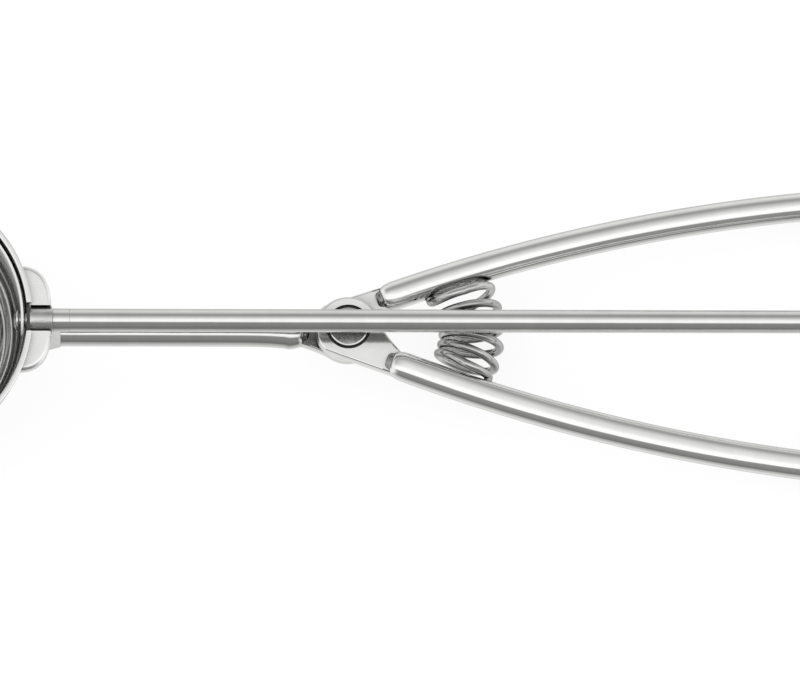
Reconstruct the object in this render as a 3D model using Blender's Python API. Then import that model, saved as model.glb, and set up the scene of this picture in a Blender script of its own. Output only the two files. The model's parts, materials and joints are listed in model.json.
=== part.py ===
# A tongs-type portion scoop in stainless steel.
#
# The bowl sits on a spine bar. Two long curved handles meet the spine at one
# pivot rivet. Squeezing the handles drives a curved rack past a small pinion,
# which turns a long shaft, and the shaft sweeps a half-round blade through
# the bowl to push the portion out. A coil spring opens the handles again.
#
# Tool frame: the pivot axis is Z through the origin, +X runs to the handle
# ends, the bowl lies at -X and its mouth opens to +Z. Everything hangs on one
# empty, which tips the tool into its resting pose on a table. Metres.

import math

import bmesh
import bpy
from mathutils import Matrix, Vector

MM = 0.001

# Clearances
SEAT_GAP = 0.3 * MM
RUNNING_GAP = 0.2 * MM

# Round stock
BAR_DIAMETER = 6.0 * MM
SHAFT_DIAMETER = 4.8 * MM
JOURNAL_DIAMETER = 3.8 * MM
SPIGOT_DIAMETER = 2.8 * MM

# Pivot, a stack of three flat tabs on one rivet
TAB_THICKNESS = 2.0 * MM
TAB_RADIUS = 6.7 * MM
TAB_FLARE = math.radians(55.0)
TAB_CORNER = 0.55 * MM
TAB_CORNER_TURN = math.radians(120.0)
TAB_CORNER_SPREAD = math.radians(38.0)
TAB_OUTER_SPREAD = 0.28 * MM
SHOULDER_REACH = 11.6 * MM
SHOULDER_DOME = 1.6 * MM
LEVER_SHOULDER_START = -1.0 * MM
FIXED_SHOULDER_START = 1.2 * MM
SPINE_SHOULDER_REACH = 11.0 * MM
RIVET_SHANK_DIAMETER = 4.4 * MM
RIVET_HEAD_DIAMETER = 8.2 * MM
RIVET_HEAD_DEPTH = 1.1 * MM
RIVET_FOOT_DIAMETER = 6.4 * MM
RIVET_FOOT_HEIGHT = 1.0 * MM
WASHER_DIAMETER = 9.6 * MM
WASHER_THICKNESS = 0.8 * MM

# Handles, each an arc that ends nearly parallel to the shaft. Both lean a
# little to the fixed handle's side
HANDLE_ARC_RADIUS = 369.0 * MM
HANDLE_ARC = math.radians(20.35)
HANDLE_LEAN = math.radians(-0.76)
HANDLE_OVERRUN = 16.5 * MM

# Bowl, with its centre on the shaft's axis
BOWL_REACH = 95.0 * MM
BOWL_RADIUS = 28.3 * MM
BOWL_WALL = 0.9 * MM
BOWL_LIP_HEIGHT = 3.5 * MM
BOWL_BEAD = 0.5 * MM
BOWL_BEAD_HEIGHT = 1.0 * MM

# Scraper blade
BLADE_WIDTH = 6.6 * MM
BLADE_THICKNESS = 0.8 * MM
BLADE_CLEARANCE = 0.45 * MM
PIN_HEAD_DIAMETER = 4.4 * MM
PIN_HEAD_HEIGHT = 0.9 * MM

# Neck
NECK_LENGTH = 4.4 * MM
NECK_HALF_WIDTH = 11.2 * MM
NECK_CORNER = 6.1 * MM
NECK_SHEET = 1.0 * MM
NECK_SKIRT = 2.4 * MM
NECK_TOP_ABOVE_SHAFT = 2.1 * MM
NECK_CRADLE_WALL = 0.8 * MM
CRADLE_GAP = 0.6 * MM
COLLAR_WALL = 0.5 * MM
SLEEVE_LENGTH = 3.2 * MM
SLEEVE_WALL = 0.5 * MM
SOCKET_WALL = 0.6 * MM
SOCKET_OVERHANG = 7.5 * MM

# Drive at the handle end: rack and pinion
DRIVE_RADIUS = 118.0 * MM
GEAR_MODULE = 1.0 * MM
PINION_TEETH = 11
PRESSURE_ANGLE = math.radians(20.0)
TOOTH_BACKLASH = 0.4 * MM
PINION_FACE = 5.6 * MM
PINION_HUB_LENGTH = 3.0 * MM
PINION_HUB_DIAMETER = 8.0 * MM
PINION_PIN_DIAMETER = 1.4 * MM
RACK_WIDTH = 5.0 * MM
RACK_BODY = 1.4 * MM
RACK_BOTTOM = 0.45 * MM
RACK_NOSE_LENGTH = 1.5 * MM
RACK_TAIL = 2.6 * MM
SCRAPER_SWEEP = math.radians(180.0)

# Yoke, a cast channel on the fixed handle that carries the shaft's rear end
YOKE_WALL = 2.0 * MM
YOKE_FLOOR = 1.8 * MM
YOKE_EYE_RADIUS = 4.4 * MM
YOKE_FOOT_LENGTH = 24.0 * MM
YOKE_FOOT_THICKNESS = 2.0 * MM
YOKE_RIVET_SPACING = 17.0 * MM
SMALL_RIVET_DIAMETER = 2.4 * MM
SMALL_HEAD_DIAMETER = 4.2 * MM
SMALL_HEAD_HEIGHT = 0.9 * MM
STOP_PIN_DIAMETER = 1.6 * MM
END_RING_THICKNESS = 0.8 * MM
END_RING_WIDTH = 1.6 * MM
END_GROOVE_DEPTH = 0.5 * MM
SHAFT_TIP = 1.6 * MM

# Return spring, fanned between the two bars about a point behind the pivot
SPRING_CENTRE = 8.8 * MM
SPRING_REACH = 17.3 * MM
SPRING_DIAMETER = 12.2 * MM
SPRING_WIRE = 1.8 * MM
SPRING_START = -0.5
SPRING_END = 4.5
SPRING_LEVER_ROOM = 0.84 * MM
SPRING_FIXED_ROOM = 3.25 * MM
LEVER_TAIL_REACH = 18.9 * MM
FIXED_TAIL_REACH = 31.6 * MM
TAIL_STANDOFF = 0.7 * MM
TAIL_APPROACH = 0.8 * MM
LEVER_TAIL_SWING = 0.9
FIXED_TAIL_SWING = 0.5

# Facets
ROUND_SIDES = 20
BAR_SIDES = 16
BOWL_SIDES = 48
BOWL_RINGS = 10
CURL_POINTS = 9

# Derived sizes
BAR_RADIUS = BAR_DIAMETER / 2
SHAFT_RADIUS = SHAFT_DIAMETER / 2
JOURNAL_RADIUS = JOURNAL_DIAMETER / 2
SPIGOT_RADIUS = SPIGOT_DIAMETER / 2
PINION_PITCH_RADIUS = PINION_TEETH * GEAR_MODULE / 2
PINION_TIP_RADIUS = PINION_PITCH_RADIUS + 0.9 * GEAR_MODULE
PINION_ROOT_RADIUS = PINION_PITCH_RADIUS - 1.25 * GEAR_MODULE
RACK_ROOT = RACK_BOTTOM + RACK_BODY
RACK_PITCH_LINE = RACK_ROOT + 1.25 * GEAR_MODULE
RACK_TIP = RACK_PITCH_LINE + 0.8 * GEAR_MODULE
SHAFT_HEIGHT = RACK_PITCH_LINE + PINION_PITCH_RADIUS
GEAR_RATIO = DRIVE_RADIUS / PINION_PITCH_RADIUS
LEVER_TRAVEL = SCRAPER_SWEEP / GEAR_RATIO
BAR_OFFSET = TAB_RADIUS - BAR_RADIUS
BOWL_INSIDE = BOWL_RADIUS - BOWL_WALL
BOWL_CENTRE = Vector((-BOWL_REACH, 0, SHAFT_HEIGHT))
BLADE_RADIUS = BOWL_INSIDE - BLADE_CLEARANCE
NECK_FRONT = -BOWL_REACH + BOWL_RADIUS + NECK_LENGTH
LAYER_STEP = TAB_THICKNESS + SEAT_GAP
STACK_TOP = LAYER_STEP + TAB_THICKNESS / 2
FIXED_LEVEL = LAYER_STEP
LEVER_LEVEL = 0.0
SPINE_LEVEL = -LAYER_STEP
SPRING_LEVEL = SHAFT_HEIGHT - SHAFT_RADIUS - (SPRING_DIAMETER + SPRING_WIRE) / 2 - 2 * SEAT_GAP


# Materials

def steel(name, colour, roughness):
    """A metal Principled material with the part's own colour and polish."""
    material = bpy.data.materials.new(name)
    material.use_nodes = True
    shader = material.node_tree.nodes["Principled BSDF"]
    shader.inputs["Base Color"].default_value = (*colour, 1.0)
    shader.inputs["Metallic"].default_value = 1.0
    shader.inputs["Roughness"].default_value = roughness
    material.diffuse_color = (*colour, 1.0)
    return material


# Mesh helpers: each one returns an object that holds one closed body

def new_object(name, bm):
    """Turns a bmesh into an object of the scene, with its faces outward."""
    bmesh.ops.recalc_face_normals(bm, faces=bm.faces)
    if bm.calc_volume(signed=True) < 0:
        bmesh.ops.reverse_faces(bm, faces=bm.faces)
    mesh = bpy.data.meshes.new(name)
    bm.to_mesh(mesh)
    bm.free()
    item = bpy.data.objects.new(name, mesh)
    bpy.context.scene.collection.objects.link(item)
    return item


def skin_rings(bm, rings, closed_ring=True):
    """Joins rings of points into a skin; a ring of one point is a tip."""
    rows = [[bm.verts.new(point) for point in ring] for ring in rings]
    for low, high in zip(rows, rows[1:]):
        count = max(len(low), len(high))
        for i in range(count if closed_ring else count - 1):
            j = (i + 1) % count
            if len(low) == 1:
                bm.faces.new((low[0], high[i], high[j]))
            elif len(high) == 1:
                bm.faces.new((low[i], low[j], high[0]))
            else:
                bm.faces.new((low[i], low[j], high[j], high[i]))
    return rows


def turned(name, profile, sides=ROUND_SIDES, axis="X"):
    """Turns a profile of (radius, station) points about the X or Z axis.

    A radius of zero is a tip on the axis. A profile that ends where it
    starts is a ring with a bore.
    """
    bm = bmesh.new()
    rings = []
    for radius, station in profile:
        count = 1 if radius == 0 else sides
        ring = []
        for k in range(count):
            angle = 2 * math.pi * k / sides
            across, up = radius * math.cos(angle), radius * math.sin(angle)
            if axis == "X":
                ring.append((station, across, up))
            else:
                ring.append((across, up, station))
        rings.append(ring)
    if profile[0] == profile[-1]:
        rows = skin_rings(bm, rings[:-1])
        for i in range(sides):
            j = (i + 1) % sides
            bm.faces.new((rows[-1][i], rows[-1][j], rows[0][j], rows[0][i]))
    else:
        skin_rings(bm, rings)
    return new_object(name, bm)


def rod(name, radius, start, end, sides=ROUND_SIDES, axis="X"):
    """A plain round rod between two stations on its axis."""
    return turned(name, [(0, start), (radius, start), (radius, end), (0, end)], sides, axis)


def tube(name, inside, outside, start, end, sides=ROUND_SIDES, axis="X"):
    """A plain round tube between two stations on its axis."""
    profile = [(inside, start), (outside, start), (outside, end), (inside, end), (inside, start)]
    return turned(name, profile, sides, axis)


def prism(name, outline, bottom, top):
    """A plan outline of (x, y) points drawn up from one height to another."""
    bm = bmesh.new()
    low = [bm.verts.new((x, y, bottom)) for x, y in outline]
    high = [bm.verts.new((x, y, top)) for x, y in outline]
    bm.faces.new(low)
    bm.faces.new(high)
    for i in range(len(outline)):
        j = (i + 1) % len(outline)
        bm.faces.new((low[i], low[j], high[j], high[i]))
    return new_object(name, bm)


def box(name, low, high):
    """A box between two corners."""
    outline = [(low[0], low[1]), (high[0], low[1]), (high[0], high[1]), (low[0], high[1])]
    return prism(name, outline, low[2], high[2])


def sector(name, inner, outer, start, end, bottom, top, steps=10):
    """A block bent about the pivot between two radii and two angles."""
    angles = [start + (end - start) * i / steps for i in range(steps + 1)]
    outline = [(outer * math.cos(a), outer * math.sin(a)) for a in angles]
    outline += [(inner * math.cos(a), inner * math.sin(a)) for a in reversed(angles)]
    return prism(name, outline, bottom, top)


def boolean(item, tools, operation):
    """Cuts or joins with other closed bodies and removes those afterwards."""
    for tool in tools:
        modifier = item.modifiers.new(operation.title(), "BOOLEAN")
        modifier.operation = operation
        modifier.solver = "EXACT"
        modifier.object = tool
    bpy.context.view_layer.update()
    evaluated = item.evaluated_get(bpy.context.evaluated_depsgraph_get())
    mesh = bpy.data.meshes.new_from_object(evaluated)
    item.modifiers.clear()
    item.data = mesh
    for tool in tools:
        bpy.data.objects.remove(tool)
    return item


def cut(item, *tools):
    return boolean(item, tools, "DIFFERENCE")


def join(item, *tools):
    return boolean(item, tools, "UNION")


def move_mesh(item, matrix):
    """Moves the shape itself, so that the object's origin stays put."""
    item.data.transform(matrix)
    return item


def bezier(p0, p1, p2, p3, t):
    return p0 * (1 - t) ** 3 + p1 * 3 * t * (1 - t) ** 2 + p2 * 3 * t ** 2 * (1 - t) + p3 * t ** 3


def finish(item, material, parent, pivot=Vector((0, 0, 0))):
    """Shades a piece, gives it its material and hangs it on its body."""
    item.data.transform(Matrix.Translation(-pivot))
    item.data.shade_smooth()
    item.data.set_sharp_from_angle(angle=math.radians(35))
    item.data.materials.clear()
    item.data.materials.append(material)
    item.parent = parent
    item.location = Vector((0, 0, 0))
    return item


# Handles: side +1 is the lever, the upper one in plan, and -1 the fixed one

def aside_of(heading):
    """The direction to the left of a heading."""
    return Vector((-math.sin(heading), math.cos(heading)))


def handle_point(distance, side):
    """A point on a handle's centre line in plan, and the bar's heading there."""
    start = HANDLE_ARC
    heading = start - distance / HANDLE_ARC_RADIUS
    along = Vector((math.cos(start), math.sin(start)))
    shoulder = along * SHOULDER_REACH + aside_of(start) * BAR_OFFSET
    x = shoulder.x + HANDLE_ARC_RADIUS * (math.sin(start) - math.sin(heading))
    y = shoulder.y + HANDLE_ARC_RADIUS * (math.cos(heading) - math.cos(start))
    return Matrix.Rotation(HANDLE_LEAN, 2) @ Vector((x, side * y)), side * heading + HANDLE_LEAN


def handle_distance_at(reach):
    """How far along a handle its centre line is `reach` from the pivot."""
    low, high = 0.0, 2 * reach
    for _ in range(50):
        middle = (low + high) / 2
        if handle_point(middle, 1)[0].length < reach:
            low = middle
        else:
            high = middle
    return (low + high) / 2


def handle_angle_at(reach, side):
    point = handle_point(handle_distance_at(reach), side)[0]
    return math.atan2(point.y, point.x)


def tail_reach(side):
    """How far from the pivot a tail of the spring enters a bar."""
    return LEVER_TAIL_REACH if side > 0 else FIXED_TAIL_REACH


def bar_seen_from(centre, reach, side):
    """The direction from a point on the axis to a bar's centre line, `reach` away."""
    low, high = 0.0, 2 * (centre + reach)
    start = Vector((centre, 0))
    for _ in range(50):
        middle = (low + high) / 2
        if (handle_point(middle, side)[0] - start).length < reach:
            low = middle
        else:
            high = middle
    spot = handle_point(low, side)[0] - start
    return math.atan2(spot.y, spot.x)


def level(side):
    """The height of a handle's bar, which is that of its own tab."""
    return LEVER_LEVEL if side > 0 else FIXED_LEVEL


HANDLE_LENGTH = handle_distance_at(DRIVE_RADIUS + HANDLE_OVERRUN)


def bar_along(name, stations, height, start_dome, end_dome):
    """A round bar through (x, y, heading) stations, with domed ends."""
    rings = []

    def ring(station, shift, size):
        x, y, heading = station
        centre = Vector((x + shift * math.cos(heading), y + shift * math.sin(heading), height))
        aside = aside_of(heading).to_3d()
        points = []
        for k in range(BAR_SIDES):
            angle = 2 * math.pi * (k + 0.5) / BAR_SIDES
            points.append(centre + aside * size * math.cos(angle) + Vector((0, 0, size * math.sin(angle))))
        return points

    def tip(station, shift):
        x, y, heading = station
        return [Vector((x + shift * math.cos(heading), y + shift * math.sin(heading), height))]

    steps = 4
    rings.append(tip(stations[0], -start_dome))
    for k in range(1, steps):
        turn = math.pi / 2 * (1 - k / steps)
        rings.append(ring(stations[0], -start_dome * math.sin(turn), BAR_RADIUS * math.cos(turn)))
    for station in stations:
        rings.append(ring(station, 0, BAR_RADIUS))
    for k in range(1, steps):
        turn = math.pi / 2 * k / steps
        rings.append(ring(stations[-1], end_dome * math.sin(turn), BAR_RADIUS * math.cos(turn)))
    rings.append(tip(stations[-1], end_dome))
    bm = bmesh.new()
    skin_rings(bm, rings)
    return new_object(name, bm)


def shoulder_start(side):
    """Where a bar starts on its arc: the lever's a little nearer the pivot."""
    return LEVER_SHOULDER_START if side > 0 else FIXED_SHOULDER_START


def handle_bar(name, side):
    """The round part of a handle."""
    stations = []
    steps = 16
    start = shoulder_start(side)
    for i in range(steps + 1):
        point, heading = handle_point(start + (HANDLE_LENGTH - start) * i / steps, side)
        stations.append((point.x, point.y, heading))
    return bar_along(name, stations, level(side), SHOULDER_DOME, BAR_RADIUS)


def nose_radius(turn, edge):
    """How far a tab's nose reaches: its disc, and a soft corner where its outer edge runs on."""
    swell = max(0.0, math.cos((turn - TAB_CORNER_TURN) / TAB_CORNER_SPREAD * math.pi / 2))
    if abs(turn - TAB_CORNER_TURN) > TAB_CORNER_SPREAD:
        swell = 0.0
    reach = TAB_RADIUS + TAB_CORNER * swell
    return min(reach, edge / math.sin(turn)) if turn < TAB_CORNER_TURN else reach


def tab(name, height, offset, shoulder, along, aside):
    """A flat tab: a disc on the pivot that narrows to a strip in the bar.

    The strip is as wide as the bar and lies `offset` to one side of the
    pivot. An edge leaves the disc on its tangent and curves to the strip at
    the bar's shoulder. The outer edge of an offset tab runs straight on past
    the disc, a little outwards, to a soft corner.
    """
    half = BAR_RADIUS * 0.9
    flanks = []
    for edge, hand in ((offset + half, 1), (offset - half, -1)):
        straight = offset > 0 and hand > 0
        flare = 0.0 if straight else TAB_FLARE * (1 - abs(edge) / TAB_RADIUS)
        at_nose = edge + TAB_OUTER_SPREAD if straight else edge
        turn = math.asin(at_nose / TAB_RADIUS) + hand * flare
        root = Vector((math.cos(turn), math.sin(turn))) * TAB_RADIUS
        foot = Vector((shoulder, edge))
        lead = root - aside_of(turn) * hand * (foot - root).length * 0.35
        if straight:
            lead = foot.lerp(root, 0.65)
        curve = [bezier(foot, foot.lerp(lead, 2 / 3), root.lerp(lead, 2 / 3), root, k / 6) for k in range(6)]
        flanks.append((turn, curve))
    (first, far_curve), (last, near_curve) = flanks
    last += 2 * math.pi
    steps = 26
    outline = list(far_curve)
    for i in range(steps + 1):
        turn = first + (last - first) * i / steps
        radius = nose_radius(turn, offset + half + TAB_OUTER_SPREAD) if offset > 0 else TAB_RADIUS
        outline.append(Vector((math.cos(turn), math.sin(turn))) * radius)
    outline += reversed(near_curve)
    end = shoulder + BAR_RADIUS / 2
    outline += [Vector((end, offset - half)), Vector((end, offset + half))]
    points = [along * spot.x + aside * spot.y for spot in outline]
    bottom = height - TAB_THICKNESS / 2
    return prism(name, [(p.x, p.y) for p in points], bottom, bottom + TAB_THICKNESS)


def handle_tab(side):
    """The flat end of a handle, in line with the bar's first heading."""
    heading = handle_point(0, side)[1]
    along = Vector((math.cos(heading), math.sin(heading)))
    shoulder = SHOULDER_REACH + shoulder_start(side)
    return tab("handle_tab", level(side), BAR_OFFSET, shoulder, along, aside_of(heading) * side)


def spring_hole(side):
    """A drilled hole in a bar's inner side, for one tail of the spring."""
    point, heading = handle_point(handle_distance_at(tail_reach(side)), side)
    bore = SPRING_WIRE / 2 + RUNNING_GAP
    hole = rod("spring_hole", bore, -SPRING_WIRE * 0.4, BAR_RADIUS * 2, 12, "X")
    place = Matrix.Translation((*point, level(side))) @ Matrix.Rotation(heading - side * math.pi / 2, 4, "Z")
    return move_mesh(hole, place)


def upright_bore(radius, x, y, low=-20 * MM, high=20 * MM):
    hole = rod("bore", radius, low, high, 16, "Z")
    return move_mesh(hole, Matrix.Translation((x, y, 0)))


# Bowl, blade and neck

def bowl_profile():
    """From the outside of the bottom, up over the bead and down the inside."""
    profile = []
    for i in range(BOWL_RINGS + 1):
        turn = math.pi / 2 * i / BOWL_RINGS
        profile.append((BOWL_RADIUS * math.sin(turn) if i else 0, -BOWL_RADIUS * math.cos(turn)))
    bead = BOWL_RADIUS + BOWL_BEAD
    top = BOWL_LIP_HEIGHT
    soft = BOWL_BEAD * 0.5
    profile += [
        (BOWL_RADIUS, top - BOWL_BEAD_HEIGHT - soft),
        (bead - soft * 0.3, top - BOWL_BEAD_HEIGHT),
        (bead, top - BOWL_BEAD_HEIGHT + soft),
        (bead, top - soft),
        (bead - soft * 0.6, top),
        (BOWL_INSIDE + soft * 0.5, top),
        (BOWL_INSIDE, top - soft * 0.6),
    ]
    for i in range(BOWL_RINGS + 1):
        turn = math.pi / 2 * (1 - i / BOWL_RINGS)
        profile.append((BOWL_INSIDE * math.sin(turn) if i < BOWL_RINGS else 0, -BOWL_INSIDE * math.cos(turn)))
    return profile


def bowl_clear_ball(name, radius=BOWL_RADIUS + SEAT_GAP):
    """A ball just larger than the bowl, which trims what meets its outside."""
    ball = turned(name, [
        (radius * math.sin(math.pi * i / 32) if 0 < i < 32 else 0, -radius * math.cos(math.pi * i / 32))
        for i in range(33)
    ], 64, "Z")
    return move_mesh(ball, Matrix.Translation(BOWL_CENTRE))


def blade_mesh(name):
    """A bent strip: half a ring about the bowl's centre with a round eye at
    each end, which reaches past the shaft's axis by half the strip's width."""
    half = BLADE_WIDTH / 2
    middle = BLADE_RADIUS - BLADE_THICKNESS / 2
    stations = []
    end_steps = 5
    for i in range(end_steps, 0, -1):
        past = half * math.sin(math.pi / 2 * (i - 0.35) / end_steps)
        stations.append((Vector((middle, -past)), Vector((1, 0)), math.sqrt(half ** 2 - past ** 2)))
    arc_steps = 24
    for i in range(arc_steps + 1):
        turn = math.pi * i / arc_steps
        normal = Vector((math.cos(turn), math.sin(turn)))
        stations.append((normal * middle, normal, half))
    for i in range(1, end_steps + 1):
        past = half * math.sin(math.pi / 2 * (i - 0.35) / end_steps)
        stations.append((Vector((-middle, -past)), Vector((-1, 0)), math.sqrt(half ** 2 - past ** 2)))
    rings = []
    for centre, normal, width in stations:
        outer = centre + normal * BLADE_THICKNESS / 2
        inner = centre - normal * BLADE_THICKNESS / 2
        rings.append([
            BOWL_CENTRE + Vector((outer.x, outer.y, width)),
            BOWL_CENTRE + Vector((inner.x, inner.y, width)),
            BOWL_CENTRE + Vector((inner.x, inner.y, -width)),
            BOWL_CENTRE + Vector((outer.x, outer.y, -width)),
        ])
    bm = bmesh.new()
    rows = skin_rings(bm, rings)
    bm.faces.new(rows[0])
    bm.faces.new(rows[-1])
    return new_object(name, bm)


def on_shaft(item):
    """Lifts a shape turned about X up to the shaft's axis."""
    return move_mesh(item, Matrix.Translation((0, 0, SHAFT_HEIGHT)))


def trough(name, radius, start, end, top):
    """A U-shaped bar along the shaft's axis: round below, straight above."""
    outline = []
    steps = 12
    for i in range(steps + 1):
        turn = -math.pi * i / steps
        outline.append((radius * math.cos(turn), SHAFT_HEIGHT + radius * math.sin(turn)))
    outline += [(-radius, top), (radius, top)]
    bm = bmesh.new()
    rows = skin_rings(bm, [[(x, y, z) for y, z in outline] for x in (start, end)])
    bm.faces.new(rows[0])
    bm.faces.new(rows[-1])
    return new_object(name, bm)


# Rack and pinion

def involute(radius, base):
    """The angle by which an involute has turned at a given radius."""
    if radius <= base:
        return 0.0
    angle = math.acos(base / radius)
    return math.tan(angle) - angle


def pinion_outline():
    """The pinion's outline in its own plane, with a tooth at angle zero."""
    base = PINION_PITCH_RADIUS * math.cos(PRESSURE_ANGLE)
    thickness = math.pi * GEAR_MODULE / 2 - TOOTH_BACKLASH / 2
    half = thickness / 2 / PINION_PITCH_RADIUS + involute(PINION_PITCH_RADIUS, base)
    radii = [base + (PINION_TIP_RADIUS - base) * k / 4 for k in range(5)]
    flank = [(radius, half - involute(radius, base)) for radius in radii]
    foot = math.pi / PINION_TEETH
    narrow = half * 0.8
    tooth = [(PINION_ROOT_RADIUS, -narrow - (foot - narrow) * 0.45), (PINION_ROOT_RADIUS, -narrow)]
    tooth += [(radius, -angle) for radius, angle in flank]
    tooth += [(radius, angle) for radius, angle in reversed(flank)]
    tooth += [(PINION_ROOT_RADIUS, narrow), (PINION_ROOT_RADIUS, narrow + (foot - narrow) * 0.45)]
    outline = []
    for k in range(PINION_TEETH):
        turn = 2 * math.pi * k / PINION_TEETH
        outline += [(r * math.cos(a + turn), r * math.sin(a + turn)) for r, a in tooth]
    return outline


def rack_stations(first, last):
    """The rack's side view as (arc length, bottom, top) stations.

    A tooth space lies under the pinion's lowest tooth, so that they mesh at
    rest. The stop nose stands at the free end.
    """
    pitch = math.pi * GEAR_MODULE
    half = (pitch / 2 - TOOTH_BACKLASH / 2) / 2
    slope = math.tan(PRESSURE_ANGLE)
    foot = half + (RACK_PITCH_LINE - RACK_ROOT) * slope
    crest = half - (RACK_TIP - RACK_PITCH_LINE) * slope
    nose_end = RACK_FREE_END + RACK_NOSE_LENGTH
    tops = [(RACK_FREE_END, NOSE_TOP), (nose_end, NOSE_TOP), (nose_end + STEP_RUN, RACK_ROOT)]
    for k in range(first, last + 1):
        middle = (k + 0.5) * pitch
        tops += [(middle - foot, RACK_ROOT), (middle - crest, RACK_TIP)]
        tops += [(middle + crest, RACK_TIP), (middle + foot, RACK_ROOT)]
    tops.append((RACK_FIXED_END, RACK_ROOT))
    return [(s, RACK_BOTTOM, top) for s, top in tops]


def bent(name, stations, inner, outer):
    """Bends a side view about the pivot, from an inner to an outer radius.

    Each station has an arc length, taken at the drive radius, and the heights
    of the bottom and the top there.
    """
    fine = [stations[0]]
    for here, there in zip(stations, stations[1:]):
        steps = max(1, math.ceil((there[0] - here[0]) / (2.5 * MM)))
        for i in range(1, steps + 1):
            fine.append(tuple(a + (b - a) * i / steps for a, b in zip(here, there)))
    rings = []
    for s, bottom, top in fine:
        angle = s / DRIVE_RADIUS
        across = Vector((math.cos(angle), math.sin(angle), 0))
        up = Vector((0, 0, 1))
        rings.append([
            across * inner + up * bottom, across * inner + up * top,
            across * outer + up * top, across * outer + up * bottom,
        ])
    bm = bmesh.new()
    rows = skin_rings(bm, rings)
    bm.faces.new(rows[0])
    bm.faces.new(rows[-1])
    return new_object(name, bm)


STOP_PIN_HEIGHT = RACK_TIP + SEAT_GAP + STOP_PIN_DIAMETER / 2
NOSE_TOP = STOP_PIN_HEIGHT + STOP_PIN_DIAMETER / 2
STEP_RUN = 0.05 * MM
STOP_PIN_REACH = math.sqrt(
    (PINION_TIP_RADIUS + STOP_PIN_DIAMETER / 2 + 2 * SEAT_GAP) ** 2 - (SHAFT_HEIGHT - STOP_PIN_HEIGHT) ** 2
)
RACK_FREE_END = -(STOP_PIN_REACH + STOP_PIN_DIAMETER / 2 + SEAT_GAP + RACK_NOSE_LENGTH)
RACK_FIXED_END = handle_angle_at(DRIVE_RADIUS, 1) * DRIVE_RADIUS + RACK_TAIL
CHANNEL_INNER = DRIVE_RADIUS - PINION_FACE / 2 - 2 * SEAT_GAP
CHANNEL_OUTER = DRIVE_RADIUS + PINION_FACE / 2 + PINION_HUB_LENGTH + 2 * SEAT_GAP
CHANNEL_FLOOR = RACK_BOTTOM - 2 * SEAT_GAP
YOKE_REAR = CHANNEL_OUTER + YOKE_WALL
FOOT_BOTTOM = FIXED_LEVEL + BAR_RADIUS + SEAT_GAP
FOOT_TOP = FOOT_BOTTOM + YOKE_FOOT_THICKNESS
RING_START = YOKE_REAR + SEAT_GAP
SHAFT_END = RING_START + END_RING_THICKNESS + 2 * SEAT_GAP + SHAFT_TIP


def small_rivet(name, x, y, bar_height, head_seat):
    """An upright rivet with a domed head and a flush foot in the bar."""
    shank = SMALL_RIVET_DIAMETER / 2
    head = SMALL_HEAD_DIAMETER / 2
    foot = bar_height - math.sqrt(BAR_RADIUS ** 2 - shank ** 2)
    top = head_seat + SMALL_HEAD_HEIGHT
    item = turned(name, [
        (0, foot), (shank, foot), (shank, head_seat), (head, head_seat),
        (head, head_seat + SMALL_HEAD_HEIGHT * 0.35), (head * 0.75, head_seat + SMALL_HEAD_HEIGHT * 0.8), (0, top),
    ], 16, "Z")
    return move_mesh(item, Matrix.Translation((x, y, 0)))


# Spring

def spring_points():
    """The wire's centre line: curls in a fan, and two tails.

    Whole and quarter turns are counted so that the bulges away from the
    pivot lie at 0.25, 1.25 and so on. The first and the last of them lie
    beside their bars. Each end is drawn out into a tail that runs straight
    into its hole in the bar.
    """
    coil = SPRING_DIAMETER / 2
    outer = SPRING_REACH + coil
    beside = BAR_RADIUS + SPRING_WIRE / 2
    first = bar_seen_from(SPRING_CENTRE, outer, -1) + (beside + SPRING_FIXED_ROOM) / outer
    last = bar_seen_from(SPRING_CENTRE, outer, 1) - (beside + SPRING_LEVER_ROOM) / outer
    turns = SPRING_END - SPRING_START
    steps = round(turns * CURL_POINTS)

    def curl(turn):
        spin = 2 * math.pi * turn
        reach = SPRING_REACH + coil * math.sin(spin)
        angle = first + (last - first) * (turn - 0.25) / (SPRING_END - 0.5)
        height = SPRING_LEVEL - coil * math.cos(spin)
        return Vector((SPRING_CENTRE + reach * math.cos(angle), reach * math.sin(angle), height))

    points = [curl(SPRING_START + turns * i / steps) for i in range(steps + 1)]

    def tail(side, start, before, swing):
        """From the coil's end, round and straight into the bar."""
        point, heading = handle_point(handle_distance_at(tail_reach(side)), side)
        centre = Vector((*point, level(side)))
        outward = aside_of(heading).to_3d() * side
        inside = centre - outward * SPRING_WIRE * 0.15
        mouth = centre - outward * (BAR_RADIUS + TAIL_STANDOFF)
        first = start + (start - before).normalized() * coil * swing
        last = mouth - outward * TAIL_APPROACH
        bend = [bezier(start, first, last, mouth, k / 6) for k in range(1, 7)]
        return bend + [inside.lerp(mouth, 0.5), inside]

    lower = tail(-1, points[0], points[1], FIXED_TAIL_SWING)
    upper = tail(1, points[-1], points[-2], LEVER_TAIL_SWING)
    return list(reversed(lower)) + points + upper


def least_gap(points, wire):
    """The least clear distance between far stretches of the wire."""
    fine = []
    for a, b in zip(points, points[1:]):
        fine += [a.lerp(b, k / 4) for k in range(4)]
    walk = [0.0]
    for a, b in zip(fine, fine[1:]):
        walk.append(walk[-1] + (b - a).length)
    least = 1.0
    for i, a in enumerate(fine):
        for j in range(i + 1, len(fine)):
            if walk[j] - walk[i] > 4 * wire:
                least = min(least, (a - fine[j]).length - wire)
    return least


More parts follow.
